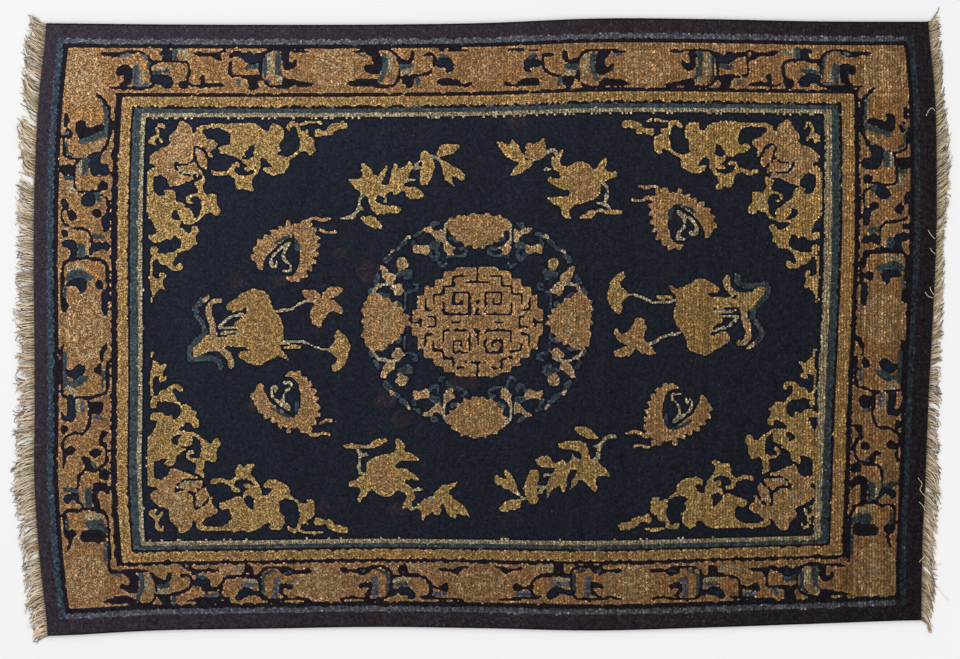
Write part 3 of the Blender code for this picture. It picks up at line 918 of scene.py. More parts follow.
# The fringes, much as in the frame: which way they point, and at nine even stations from
# bottom to top the lean of the yarns towards +Y, in degrees, and their reach in metres.
# Then the gaps as shares along the end with their half widths, the yarns' tone, and the
# seed of the random draws.
WEB_GAP = 0.0003
WEB_WIDTH = 0.004
FRINGES = {
    "left": {
        "share": 0.0,
        "outwards": -1.0,
        "lean": (-34, -30, -22, -14, 0, 8, 36, 45, 34),
        "reach": (0.034, 0.036, 0.043, 0.037, 0.036, 0.034, 0.034, 0.037, 0.037),
        "gaps": ((0.841, 0.011), (0.740, 0.006), (0.702, 0.003), (0.322, 0.003), (0.182, 0.004),
                 (0.159, 0.003), (0.133, 0.003), (0.905, 0.002), (0.600, 0.002)),
        "tone": 1.06,
        "seed": 11,
    },
    "right": {
        "share": 1.0,
        "outwards": 1.0,
        "lean": (-50, -56, -50, -18, 46, 52, 44, 58, 34),
        "reach": (0.024, 0.028, 0.028, 0.024, 0.022, 0.020, 0.030, 0.018, 0.025),
        "gaps": ((0.662, 0.003), (0.552, 0.003), (0.503, 0.003), (0.426, 0.004), (0.360, 0.004),
                 (0.220, 0.004), (0.850, 0.003), (0.090, 0.003)),
        "tone": 0.84,
        "seed": 23,
    },
}
YARN_BENDS = 14
YARN_SIDES = 6
# The lower and the upper layer: yarns at each end, and the range of their tones, the lower layer's much
# darker as painted shade between the yarns
YARN_COUNTS = (560, 400)
LAYER_TONES_AND_SHADE = ((0.14, 0.5), (0.52, 1.22))
# How the yarns differ: tufts as shares of the end, sway in degrees, reach, the share of
# yarns that a gap keeps, curls and waves in degrees, the most a yarn turns, in radians,
# and radii, the longest yarn and how far its root is let in, in metres. Then the twist
# from bend to bend in radians, and how far the two plies stand out.
TUFT_SHARES = (0.006, 0.017)
TUFTS = 160
SWAY = 5.0
TUFT_REACH = 0.09
YARN_REACH = (0.72, 1.1)
THIN_FILL = 0.12
CURL = 12.0
HOOK = 38.0
WAVE = (4.0, 15.0)
WAVE_TURNS = (0.8, 1.8)
MOST_TURN = 1.35
YARN_RADII = (0.0007, 0.0011)
LONGEST_YARN = 0.062
ROOT_INSET = 0.0006
TWIST_STEP = 1.1
TWO_PLY = 0.3
WEB_SIDES = 8
WEB_STATIONS = 420
WEB_HEIGHT = 0.0026

# Stray ends: radius and height in metres, and points on the board
STRAYS = {
    "left": (
        (0.0006, 0.0012, (27, 120), (22, 121), (18, 119)),
        (0.0006, 0.0012, (29, 182), (22, 185), (18, 181)),
        (0.0005, 0.0012, (30, 206), (22, 209), (16, 204)),
    ),
    "right": (
        (0.0005, 0.0092, (926, 116), (929, 110), (932, 108), (935, 111)),
        (0.0005, 0.0012, (941, 118), (946, 112), (950, 106)),
        (0.0005, 0.0092, (928, 230), (931, 235), (935, 239)),
        (0.0005, 0.0092, (930, 248), (932, 251), (935, 254)),
        (0.0005, 0.0092, (925, 292), (928, 296), (933, 298)),
        (0.0005, 0.0092, (930, 287), (931, 291), (934, 295)),
        (0.0005, 0.0092, (918, 478), (922, 484), (920, 490), (926, 497)),
        (0.0005, 0.0092, (919, 502), (923, 506), (925, 511)),
        (0.0005, 0.0092, (919, 562), (922, 559), (925, 556)),
        (0.0005, 0.0012, (936, 514), (939, 511), (943, 508)),
        (0.0005, 0.0012, (930, 562), (936, 566), (942, 564)),
        (0.0005, 0.0012, (934, 585), (939, 588), (943, 594), (950, 601)),
    ),
}

# The stage: floor, camera and lights, in metres and watts
FLOOR_HALF = 12.0
FLOOR_COLOUR = (0.92, 0.92, 0.92, 1.0)
VIEW_MIDDLE = (-0.0072, -0.0080)
VIEW_WIDTH = 1.967
LENS = 85.0
SENSOR = 36.0
WORLD_LIGHT = 0.825
LIGHTS = {
    "key light": ((-2.6, 2.6, 3.6), (1.6, 1.6), 37.0),
    "fill light": ((2.6, -2.6, 3.6), (3.0, 3.0), 26.0),
}


def knot_sides(knots, first, last):
    """Where the grid lines run, in knots: at every knot's side, and twice more close
    to the rug's own edges, where the rim turns down."""
    sides = set(range(first, last + 1))
    if first == 0:
        sides |= set(RIM_STEPS)
    if last == knots:
        sides |= {knots - step for step in RIM_STEPS}
    return np.array(sorted(sides), dtype=float)


def pile_heights(chart, rng):
    """Each knot's height: the pile's top, a little uneven, lower in the dark outlines."""
    heights = PILE_TOP - PILE_SINK + rng.normal(0.0, PILE_WANDER, chart.yarns.shape)
    heights -= DARK_SINK * (chart.yarns == DARK)
    return heights


def at_corners(values, columns, rows):
    """Knot values read at grid corners: the mean of the four knots around each."""
    wide = np.pad(values, 1, mode="edge")
    mean = (wide[1:, 1:] + wide[:-1, 1:] + wide[1:, :-1] + wide[:-1, :-1]) / 4
    return mean[np.ix_(np.rint(rows).astype(int), np.rint(columns).astype(int))]


def settle(yarns):
    """How far each corner of the knot grid moves along the rug and across it, in
    knots, as the tufts along a motif's edge lean together: each goes part of the way
    to the middle of its neighbours along that edge, in a few rounds."""
    rows, columns = yarns.shape
    links = np.zeros((4, rows + 1, columns + 1))
    links[0, 1:-1, :-1] = yarns[1:] != yarns[:-1]
    links[1, :, 1:] = links[0, :, :-1]
    links[2, :-1, 1:-1] = yarns[:, 1:] != yarns[:, :-1]
    links[3, 1:] = links[2, :-1]
    count = np.maximum(links.sum(axis=0), 1.0)
    move = np.zeros((2, rows + 1, columns + 1))
    for _ in range(SETTLE_ROUNDS):
        pull = np.zeros(move.shape)
        for link, (x, y) in zip(links, ((1, 0), (-1, 0), (0, 1), (0, -1)), strict=True):
            there = np.roll(move, (-y, -x), axis=(1, 2)) + np.array((x, y))[:, None, None]
            pull += link * (there - move)
        move += SETTLE_SHARE * pull / count
    return np.clip(move, -SETTLE_LIMIT, SETTLE_LIMIT)


def rim_share(columns, rows):
    """How far the rim has risen from its widest line to the pile's top: a quarter
    circle over the first knots from the rug's edge."""
    across, up = np.meshgrid(columns, rows)
    inwards = np.minimum(np.minimum(across, KNOTS_ALONG - across), np.minimum(up, KNOTS_ACROSS - up))
    return np.sqrt(1.0 - (1.0 - np.clip(inwards / RIM_KNOTS, 0.0, 1.0)) ** 2)


def quads(columns, rows, keep):
    """Corner numbers of the kept cells of a grid whose corners are numbered row by row."""
    wide = len(columns)
    corner = np.arange(len(rows) - 1)[:, None] * wide + np.arange(wide - 1)
    cells = np.stack((corner, corner + 1, corner + wide + 1, corner + wide), axis=-1)
    return cells[keep]


def near_hole(columns, rows, hole):
    """Which grid corners lie on the edge of the window or inside it."""
    inside = (columns >= hole[0][0]) & (columns <= hole[0][1])
    return (rows[:, None] >= hole[1][0]) & (rows[:, None] <= hole[1][1]) & inside


def wall(top_line, bottom_line, picks):
    """Triangles between a run of the pile's edge corners and the run below it, which
    has a corner under each of picks only."""
    count = len(top_line) - 1
    place = np.arange(count)
    owner = np.searchsorted(picks, place, side="right") - 1
    middle = (picks[:-1] + picks[1:] + 1) // 2
    owner = np.where(place >= middle[np.minimum(owner, len(middle) - 1)], owner + 1, owner)
    upper = np.stack((top_line[:-1], bottom_line[owner], top_line[1:]), axis=1)
    lower = np.stack((bottom_line[:-1], bottom_line[1:], top_line[middle]), axis=1)
    return np.concatenate((upper, lower))


def at_ends(line):
    """1 at a line's first place, -1 at its last one and 0 between."""
    place = np.arange(len(line))
    return 1.0 * (place == 0) - (place == len(line) - 1)


def slab_sides(columns, rows, back, top, bottom, hole):
    """The faces between the pile's edge and the back's, round the slab and its window."""
    sides = []
    loops = [(slice(0, None), slice(0, None), False)]
    if hole is not None:
        x_in = np.searchsorted(columns, hole[0])
        y_in = np.searchsorted(rows, hole[1])
        loops.append((slice(x_in[0], x_in[1] + 1), slice(y_in[0], y_in[1] + 1), True))
    for x_run, y_run, inwards in loops:
        x_picks = [k for k in back[0] if x_run.start <= k < (x_run.stop or len(columns))]
        y_picks = [k for k in back[1] if y_run.start <= k < (y_run.stop or len(rows))]
        x_low = np.searchsorted(back[0], x_picks)
        y_low = np.searchsorted(back[1], y_picks)
        upper = top[y_run, x_run]
        lower = bottom[np.ix_(y_low, x_low)]
        x_at = np.array(x_picks) - x_run.start
        y_at = np.array(y_picks) - y_run.start
        for line, under_line, picks, turned in (
            (upper[0], lower[0], x_at, False), (upper[-1], lower[-1], x_at, True),
            (upper[:, 0], lower[:, 0], y_at, True), (upper[:, -1], lower[:, -1], y_at, False),
        ):
            part = wall(line, under_line, picks)
            sides.append(part[:, ::-1] if turned != inwards else part)
    return np.concatenate(sides)


def slab(name, colours, heights, moves, columns, rows, rng, hole=None):
    """A closed slab of the carpet, one face for each knot on the pile and one for each
    four on the back. Corners lie at rug_point of their shares, the pile's at its height
    and the back's on the floor, and both turn to the rim's middle at the rug's edge."""
    inset = SEAM_GAP if hole is None else 0.0
    back = []
    for line in (columns, rows):
        back.append(np.array([i for i, side in enumerate(line) if side % 2 == 0 or side % 1]))
    points = []
    faces = []
    tints = []
    levels = []
    for under in (False, True):
        across = columns[back[0]] if under else columns
        up = rows[back[1]] if under else rows
        keep = np.ones((len(up) - 1, len(across) - 1), dtype=bool)
        if hole is not None:
            inside_x = (across[:-1] >= hole[0][0]) & (across[1:] <= hole[0][1])
            inside_y = (up[:-1] >= hole[1][0]) & (up[1:] <= hole[1][1])
            keep &= ~(inside_y[:, None] & inside_x)
        x, y = rug_point(*np.meshgrid(across / KNOTS_ALONG, up / KNOTS_ACROSS))
        x = x + inset * at_ends(across)
        y = y + inset * at_ends(up)[:, None]
        share = rim_share(across, up)
        if not under:
            inner = np.zeros(x.shape)
            inner[3:-3, 3:-3] = KNOT_SHIFT
            if hole is not None:
                inner[near_hole(columns, rows, hole)] = 0.0
            grid = np.ix_(np.rint(up).astype(int), np.rint(across).astype(int))
            free = inner > 0.0
            x = x + rng.normal(0.0, 1.0, x.shape) * inner + moves[0][grid] * free * RUG_LENGTH / KNOTS_ALONG
            y = y + rng.normal(0.0, 1.0, x.shape) * inner + moves[1][grid] * free * RUG_WIDTH / KNOTS_ACROSS
        middle = PILE_TOP * MIDDLE_SHARE
        if under:
            z = middle * BACK_TURN * (1.0 - share)
        else:
            z = middle + (at_corners(heights, across, up) - middle) * share
        cells = quads(across, up, keep)
        if under:
            cells = cells[:, ::-1]
        offset = sum(len(part) for part in points)
        points.append(np.stack((x, y, z), axis=-1).reshape(-1, 3))
        faces.append(cells + offset)
        column = np.clip(((across[:-1] + across[1:]) / 2).astype(int), 0, KNOTS_ALONG - 1)
        row = np.clip(((up[:-1] + up[1:]) / 2).astype(int), 0, KNOTS_ACROSS - 1)
        tints.append(colours[row][:, column][keep])
        levels.append(offset + np.arange(len(points[-1])).reshape(x.shape))
    sides = slab_sides(columns, rows, back, *levels, hole)
    rim_tint = np.tile(tints[0][:1], (len(sides), 1))
    points = np.concatenate(points)
    used = np.unique(np.concatenate([part.ravel() for part in (*faces, sides)]))
    number = np.full(len(points), -1)
    number[used] = np.arange(len(used))
    faces = [number[part] for part in (*faces, sides)]
    piece = make_piece(name, points[used], faces)
    add_colours(piece.data, "FACE", np.concatenate((*tints, rim_tint)))
    lay_out(piece.data, points[used], len(faces[0]), len(faces[0]) + len(faces[1]))
    return piece


def make_piece(name, points, faces):
    """A smooth mesh object from points and arrays of faces, each array of one width."""
    mesh = bpy.data.meshes.new(name)
    corners = np.concatenate([part.ravel() for part in faces])
    widths = np.concatenate([np.full(len(part), part.shape[1]) for part in faces])
    mesh.vertices.add(len(points))
    mesh.vertices.foreach_set("co", points.ravel())
    mesh.loops.add(len(corners))
    mesh.loops.foreach_set("vertex_index", corners)
    mesh.polygons.add(len(widths))
    mesh.polygons.foreach_set("loop_start", np.concatenate(((0,), np.cumsum(widths)[:-1])))
    mesh.update(calc_edges=True)
    mesh.polygons.foreach_set("use_smooth", np.ones(len(widths), dtype=bool))
    piece = bpy.data.objects.new(name, mesh)
    bpy.context.scene.collection.objects.link(piece)
    return piece


def add_colours(mesh, domain, colours):
    """The colour attribute that the materials read."""
    solid = np.concatenate((colours, np.ones((len(colours), 1))), axis=1)
    mesh.attributes.new("yarn_colour", "FLOAT_COLOR", domain).data.foreach_set("color", solid.ravel())


def lay_out(mesh, points, pile_faces, quad_count):
    """The bake map: the pile from above over most of the square, the back below it
    at half the scale, and the sides in what is left, wound out along the rim."""
    corner = np.empty(len(mesh.loops), dtype=np.int32)
    mesh.loops.foreach_get("vertex_index", corner)
    place = points[corner]
    low = points.min(axis=0)
    size = (points.max(axis=0) - low).max()
    flat = (place[:, :2] - low[:2]) / size
    tall = (points.max(axis=0)[1] - low[1]) / size
    uv = flat * 0.98 + (0.01, 0.99 - 0.98 * tall)
    pile = pile_faces * 4
    back = quad_count * 4
    small = (0.96 - 0.98 * tall) / tall
    uv[pile:back] = flat[pile:back] * small + (0.01, 0.01)
    middle = place[back:, :2] - (points.max(axis=0) + low)[:2] / 2
    turn = np.arctan2(middle[:, 1], middle[:, 0])
    turn = turn.reshape(-1, 3)
    turn = np.where(turn.max(axis=1, keepdims=True) - turn > np.pi, turn + 2 * np.pi, turn).ravel()
    start = small + 0.03
    uv[back:, 0] = start + (0.98 - start) * (turn + np.pi) / (2 * np.pi + 0.1)
    uv[back:, 1] = 0.02 + 0.2 * place[back:, 2] / PILE_TOP
    mesh.uv_layers.new(name="OFBake").data.foreach_set("uv", uv.ravel())


def linear(colour):
    """Display values from 0 to 255 as linear light."""
    share = np.asarray(colour, dtype=float) / 255
    return np.where(share <= 0.04045, share / 12.92, ((share + 0.055) / 1.055) ** 2.4)


def knot_colours(chart, palette, rng):
    """Each knot's colour: its yarn's, varied from knot to knot, and more slowly along each row of knots,
    where the dye lots change, with painted shade towards the right and the bottom, and painted highlights
    and shade along the motifs' edges."""
    colours = palette[chart.yarns]
    spread = np.array([DYE_SPREAD[yarn] for yarn in range(len(palette))])[chart.yarns]
    shape = chart.yarns.shape
    wander = rng.normal(0.0, 1.0, shape)
    column = rng.normal(0.0, 1.0, (1, shape[1]))
    row = np.cumsum(rng.normal(0.0, 1.0, (1, shape[1])), axis=1)
    row = (row - np.convolve(row[0], np.ones(LOT_KNOTS) / LOT_KNOTS, mode="same")) * LOT_SHARE
    u = (np.arange(shape[1]) + 0.5) / shape[1]
    v = (np.arange(shape[0])[:, None] + 0.5) / shape[0]
    plain = np.isin(chart.yarns, (AUBERGINE, LAKE))
    # Painted shade: the colours darken towards the right and the bottom, more so in the aubergine and lake
    # yarns
    painted_shade = -PAINTED_SHADE_ALONG * u - PAINTED_SHADE_ACROSS * (1.0 - v) - PLAIN_PAINTED_SHADE * u**3 * plain
    ground = np.isin(chart.yarns, (NAVY, AUBERGINE, DARK))
    lines = column * (LINE_TONES[0] + LINE_TONES[1] * u**2) * (1.0 - GROUND_CALM * ground)
    dark = np.pad(np.isin(chart.yarns, (NAVY, DARK, AUBERGINE, RUST)), 1, mode="edge")
    beside = 0.0 + dark[2:, 1:-1] + dark[:-2, 1:-1] + dark[1:-1, 2:] + dark[1:-1, :-2]
    beside = np.minimum(beside, EDGE_MOST) * ~dark[1:-1, 1:-1]
    # Painted highlight on light knots beside dark ones, and painted shade on navy knots beside light ones
    edge_light_and_shade = EDGE_LIGHT * beside
    lit = ~dark
    near = lit[2:, 1:-1] | lit[:-2, 1:-1] | lit[1:-1, 2:] | lit[1:-1, :-2]
    edge_light_and_shade = edge_light_and_shade - EDGE_SHADE * (near & (chart.yarns == NAVY))
    uneven = 1.0 + UNEVEN[0] * u + UNEVEN[1] * (1.0 - v)
    lots = np.clip(row, -LOT_LIMIT, LOT_LIMIT)
    light = np.exp(wander * spread * uneven + lines + lots + painted_shade + edge_light_and_shade)
    warmth = rng.normal(0.0, WARMTH[0], shape) * uneven + WARMTH[1] * u
    # The painted edge highlight is also paler
    pale = EDGE_PALE * beside
    tint = np.stack((1 + warmth, 1 + 0.3 * pale, 1 - 1.5 * warmth + pale), axis=-1)
    return colours * light[..., None] * tint


class Socket:
    """A shader value that Python's operators can be used on: each adds a Math node."""

    def __init__(self, tree, socket):
        self.tree = tree
        self.socket = socket

    def math(self, operation, *values):
        node = self.tree.node("ShaderNodeMath", {"operation": operation}, dict(enumerate(values)))
        return self.tree.wrap(node.outputs[0])

    def __add__(self, other):
        return self.math("ADD", self, other)

    def __sub__(self, other):
        return self.math("SUBTRACT", self, other)

    def __rsub__(self, other):
        return self.math("SUBTRACT", other, self)

    def __mul__(self, other):
        return self.math("MULTIPLY", self, other)

    def __truediv__(self, other):
        return self.math("DIVIDE", self, other)

    def __rtruediv__(self, other):
        return self.math("DIVIDE", other, self)

    __radd__ = __add__
    __rmul__ = __mul__


class Shader:
    """A material's node tree under construction."""

    def __init__(self, name, **uniform):
        self.material = bpy.data.materials.new(name)
        self.material.use_nodes = True
        self.nodes = self.material.node_tree.nodes
        self.links = self.material.node_tree.links
        self.surface = self.nodes["Principled BSDF"]
        for socket, value in uniform.items():
            self.surface.inputs[socket.replace("_", " ")].default_value = value

    def wrap(self, socket):
        return Socket(self, socket)

    def node(self, kind, settings=None, inputs=None):
        """A node of a type, with its settings set first and then its inputs."""
        node = self.nodes.new(kind)
        for name, value in (settings or {}).items():
            setattr(node, name, value)
        for key, value in (inputs or {}).items():
            if isinstance(value, Socket):
                self.links.new(value.socket, node.inputs[key])
            else:
                node.inputs[key].default_value = value
        return node

    def set(self, name, value):
        self.links.new(value.socket, self.surface.inputs[name])

    def noise(self, place, scale, detail=2.0, roughness=0.5):
        inputs = {"Vector": place, "Scale": scale, "Detail": detail, "Roughness": roughness}
        return self.wrap(self.node("ShaderNodeTexNoise", None, inputs).outputs["Fac"])

    def colour(self):
        """The colour attribute of the piece."""
        node = self.node("ShaderNodeAttribute", {"attribute_name": "yarn_colour"})
        return self.wrap(node.outputs["Color"])

    def place(self):
        return self.wrap(self.node("ShaderNodeTexCoord").outputs["Object"])

    def channel(self, colour, number):
        return self.wrap(self.node("ShaderNodeSeparateColor", None, {0: colour}).outputs[number])

    def bump(self, height, strength, distance):
        inputs = {"Strength": strength, "Distance": distance, "Height": height}
        self.set("Normal", self.wrap(self.node("ShaderNodeBump", None, inputs).outputs["Normal"]))

    def scaled(self, vector, value):
        """A colour or vector made lighter or longer by a value."""
        node = self.node("ShaderNodeVectorMath", {"operation": "SCALE"}, {0: vector, "Scale": value})
        return self.wrap(node.outputs[0])


def wool_material(name):
    """Clipped wool: the knots' colours, with painted highlights on the fibre ends and painted shade between
    them, painted rib shade and a painted glint, and a soft sheen.
    """
    shader = Shader(name, Roughness=0.95, Sheen_Weight=0.02, Sheen_Roughness=0.5, Specular_IOR_Level=0.06)
    colour = shader.colour()
    place = shader.place()
    cells = shader.node("ShaderNodeTexVoronoi", None, {"Vector": place, "Scale": END_SCALE}).outputs
    own = shader.channel(shader.wrap(cells["Color"]), 0)
    gap = shader.wrap(cells["Distance"])
    along = shader.wrap(shader.node("ShaderNodeSeparateXYZ", None, {"Vector": place}).outputs["X"])
    wander = shader.noise(place, 22.0, 3.0) * RIB_WANDER
    # Painted rib shade: light and dark stripes along the rug in the base colour, stronger towards the right
    rib_shade = along.math("SINE", along * (2 * math.pi / RIB_PITCH) + wander)
    share = along / RUG_LENGTH + 0.5
    depth = colour.math("MINIMUM", shader.channel(colour, 1) * 4.6 + 0.16, 1.0)
    # Painted highlights on the fibre ends and painted shade between them, in the base colour
    ends = (own * own * END_LIGHT[0] + END_LIGHT[1]) * (END_FALL[0] - gap * END_FALL[1])
    light = 1.0 + (ends - 1.0) * depth
    light = light * (1.0 + rib_shade * (share * share * RIB_SHADE_DEPTH + 0.05) * depth)
    # Painted glint: a warm white added to the base colour where the fibre ends are brightest
    shine = light.math("MAXIMUM", light - GLINT_FROM, 0.0) * depth * GLINT
    parts = {0: shader.scaled(colour, light), 1: shader.scaled((1.0, 0.95, 0.85), shine)}
    mixed = shader.node("ShaderNodeVectorMath", {"operation": "ADD"}, parts)
    shader.set("Base Color", shader.wrap(mixed.outputs[0]))
    shader.bump(own * 0.6 - gap, *WOOL_BUMP)
    return shader.material


def cotton_material(name):
    """Dry cotton: the yarns' tints with fine fibres in light and dark."""
    shader = Shader(name, Roughness=0.9, Sheen_Weight=0.05, Specular_IOR_Level=0.2)
    fibres = shader.noise(shader.place(), FIBRE_SCALE, 3.0, 0.7)
    shader.set("Base Color", shader.scaled(shader.colour(), FIBRE_LIGHT[0] + fibres * FIBRE_LIGHT[1]))
    shader.bump(fibres, *COTTON_BUMP)
    return shader.material


def tubes(paths, radii, tints, rng):
    """Yarns as closed tubes: paths has yarns, bends and places, radii yarns and bends.
    Each ring is a two-ply outline, its radius times 1 plus a share of the cosine of
    twice the angle, turned as the yarn twists."""
    count, bends, _ = paths.shape
    way = np.gradient(paths, axis=1)
    way /= np.maximum(np.linalg.norm(way, axis=2, keepdims=True), 1e-9)
    side = np.stack((-way[..., 1], way[..., 0], np.zeros_like(way[..., 0])), axis=-1)
    side /= np.maximum(np.linalg.norm(side, axis=2, keepdims=True), 1e-9)
    up = np.cross(way, side)
    angle = 2 * np.pi * np.arange(YARN_SIDES) / YARN_SIDES
    twist = rng.uniform(0, np.pi, count)[:, None] + np.arange(bends) * TWIST_STEP
    swell = 1.0 + TWO_PLY * np.cos(2 * (angle[None, None, :] - twist[..., None]))
    ring = swell * radii[..., None]
    points = (
        paths[:, :, None, :]
        + ring[..., None] * np.cos(angle)[None, None, :, None] * side[:, :, None, :]
        + ring[..., None] * np.sin(angle)[None, None, :, None] * up[:, :, None, :]
    )
    points = points.reshape(-1, 3)
    start = (np.arange(count) * bends * YARN_SIDES)[:, None, None]
    along = np.arange(bends - 1)[None, :, None] * YARN_SIDES
    around = np.arange(YARN_SIDES)[None, None, :]
    after = (around + 1) % YARN_SIDES
    corner = start + along
    walls = np.stack((corner + around, corner + after, corner + YARN_SIDES + after,
                      corner + YARN_SIDES + around), axis=-1).reshape(-1, 4)
    ends = np.arange(YARN_SIDES)[None, :]
    first = (start[:, 0, :] + ends)[:, ::-1]
    last = start[:, 0, :] + (bends - 1) * YARN_SIDES + ends
    colours = np.repeat(tints, YARN_SIDES, axis=1).reshape(-1, 3)
    cell = np.arange(count)
    grid = int(math.ceil(math.sqrt(count * 4)))
    column, row = cell % grid, cell // grid
    rows = row.max() + 1
    turns = np.stack((around, around + 1, around + 1, around), axis=-1)[0]
    u = (column[:, None, None, None] + 0.1 + 0.8 * turns / YARN_SIDES) / grid
    steps = np.stack((along, along, along + YARN_SIDES, along + YARN_SIDES), axis=-1)[0]
    v = (row[:, None, None, None] + 0.1 + 0.65 * steps / YARN_SIDES / bends) / rows
    shape = (count, bends - 1, YARN_SIDES, 4)
    wall_uv = np.stack((np.broadcast_to(u, shape), np.broadcast_to(v, shape)), axis=-1).reshape(-1, 2)
    cap = np.stack((np.cos(angle), np.sin(angle)), axis=-1) * 0.35 + 0.5
    caps = []
    for shift in (0.1, 0.55):
        caps.append(np.stack((
            (column[:, None] + shift + 0.35 * cap[:, 0]) / grid,
            (row[:, None] + 0.8 + 0.12 * cap[:, 1]) / rows,
        ), axis=-1).reshape(-1, 2))
    return points, walls, np.concatenate((first, last)), colours, np.concatenate((wall_uv, *caps))


def fringe_paths(side, rng, yarns, layer):
    """Middle lines of one layer of yarns. Each leaves its root square to the rug and
    turns by lean, tuft and its own stray; its height falls from the web to the floor."""
    share = (np.arange(yarns) + rng.uniform(0.1, 0.9, yarns)) / yarns
    bounds = np.cumsum(rng.uniform(*TUFT_SHARES, 140))
    tuft = np.searchsorted(bounds, share)
    centre = (np.concatenate(((0.0,), bounds))[tuft] + bounds[tuft]) / 2
    lean = through(side["lean"], share) + rng.normal(0.0, SWAY, TUFTS)[tuft] + rng.normal(0.0, SWAY, yarns)
    reach = through(side["reach"], share) * (1 + rng.normal(0.0, TUFT_REACH, TUFTS))[tuft]
    reach = reach * rng.uniform(*YARN_REACH, yarns)
    keep = np.ones(yarns, dtype=bool)
    for middle, half in side["gaps"]:
        inside = np.abs(share - middle) < half
        keep &= ~inside | (rng.uniform(0, 1, yarns) < THIN_FILL)
    t = np.linspace(0.0, 1.0, YARN_BENDS)
    curl = rng.normal(0.0, CURL, yarns)
    hook = rng.normal(0.0, HOOK, yarns)[:, None] * t**4
    swing = rng.uniform(*WAVE, (yarns, 1))
    turns = t * rng.uniform(*WAVE_TURNS, (yarns, 1)) + rng.uniform(0, 1, (yarns, 1))
    wave = swing * np.sin(2 * np.pi * turns)
    pull = (centre - share) * RUG_WIDTH / np.maximum(reach, 0.01)
    angle = lean[:, None] * np.minimum(0.4 + 1.1 * t, 1.0) + curl[:, None] * t + wave + hook
    angle = np.radians(angle) + 0.5 * pull[:, None] * (1 - t)
    angle = np.clip(angle, -MOST_TURN, MOST_TURN)
    length = reach / np.cos(angle).mean(axis=1)
    step = np.minimum(length, LONGEST_YARN)[:, None] / (YARN_BENDS - 1)
    x0, y0 = rug_point(side["share"] + 0.0 * share, share)
    dx = np.cos(angle) * step * side["outwards"]
    dy = np.sin(angle) * step
    x = x0[:, None] - side["outwards"] * ROOT_INSET + np.cumsum(dx, axis=1) - dx[:, :1]
    y = y0[:, None] + np.cumsum(dy, axis=1) - dy[:, :1]
    drop = np.exp(-t * 5.0)
    rest = 0.001 + 0.0012 * layer
    z = rest + (0.0028 + 0.0006 * layer) * drop + rng.uniform(0, 0.0007, (yarns, 1)) * np.sin(np.pi * t)
    paths = np.stack((x, y, z), axis=-1)[keep]
    radius = rng.uniform(*YARN_RADII, yarns)[keep] * (1.0 + 0.1 * layer)
    radii = radius[:, None] * (1.0 - 0.45 * t**4)
    # Painted shade: the lower layer is darker as shade between the yarns, and each yarn darkens over its
    # first third towards its root
    tone = side["tone"] * rng.uniform(*LAYER_TONES_AND_SHADE[layer], yarns)[keep]
    shade = tone[:, None] * (0.55 + 0.45 * np.minimum(t * 3, 1.0))
    return paths, radii, shade


def web_ring(side, stations, rng):
    """The end web: an oval profile, swelling a little at every twining, carried along
    the rug's end just off its edge."""
    share = np.linspace(0.002, 0.998, stations)
    x, y = rug_point(side["share"] + 0.0 * share, share)
    x = x + side["outwards"] * (WEB_GAP + WEB_WIDTH / 2)
    angle = 2 * np.pi * np.arange(WEB_SIDES) / WEB_SIDES
    swell = 1.0 + 0.08 * np.sin(np.arange(stations) * 1.9)[:, None] + rng.normal(0, 0.03, (stations, 1))
    out = -side["outwards"] * np.cos(angle) * (WEB_WIDTH / 2 - 0.0002) * swell
    high = WEB_HEIGHT / 2 * (1.0 + np.sin(angle) * np.clip(swell, 0.0, 1.0))
    points = np.stack((x[:, None] + out, y[:, None] + 0.0 * out, high), axis=-1).reshape(-1, 3)
    start = np.arange(stations - 1)[:, None] * WEB_SIDES
    around = np.arange(WEB_SIDES)[None, :]
    after = (around + 1) % WEB_SIDES
    walls = np.stack((start + around, start + after, start + WEB_SIDES + after,
                      start + WEB_SIDES + around), axis=-1).reshape(-1, 4)
    caps = np.stack((np.arange(WEB_SIDES)[::-1], (stations - 1) * WEB_SIDES + np.arange(WEB_SIDES)))
    if side["outwards"] < 0:
        walls = walls[:, ::-1]
        caps = caps[:, ::-1]
    u = 0.955 + 0.04 * np.stack((around, around + 1, around + 1, around), axis=-1) / WEB_SIDES
    v = 0.02 + 0.9 * np.stack((start, start, start + WEB_SIDES, start + WEB_SIDES), axis=-1) / (
        stations * WEB_SIDES)
    shape = (stations - 1, WEB_SIDES, 4)
    uv = np.stack((np.broadcast_to(u, shape), np.broadcast_to(v, shape)), axis=-1)
    if side["outwards"] < 0:
        uv = uv[:, :, ::-1]
    cap = np.stack((0.975 + 0.015 * np.cos(angle), 0.96 + 0.008 * np.sin(angle)), axis=-1)
    cap_uv = np.concatenate((cap, cap + (0.0, 0.02)))
    return points, walls, caps, uv.reshape(-1, 2), cap_uv


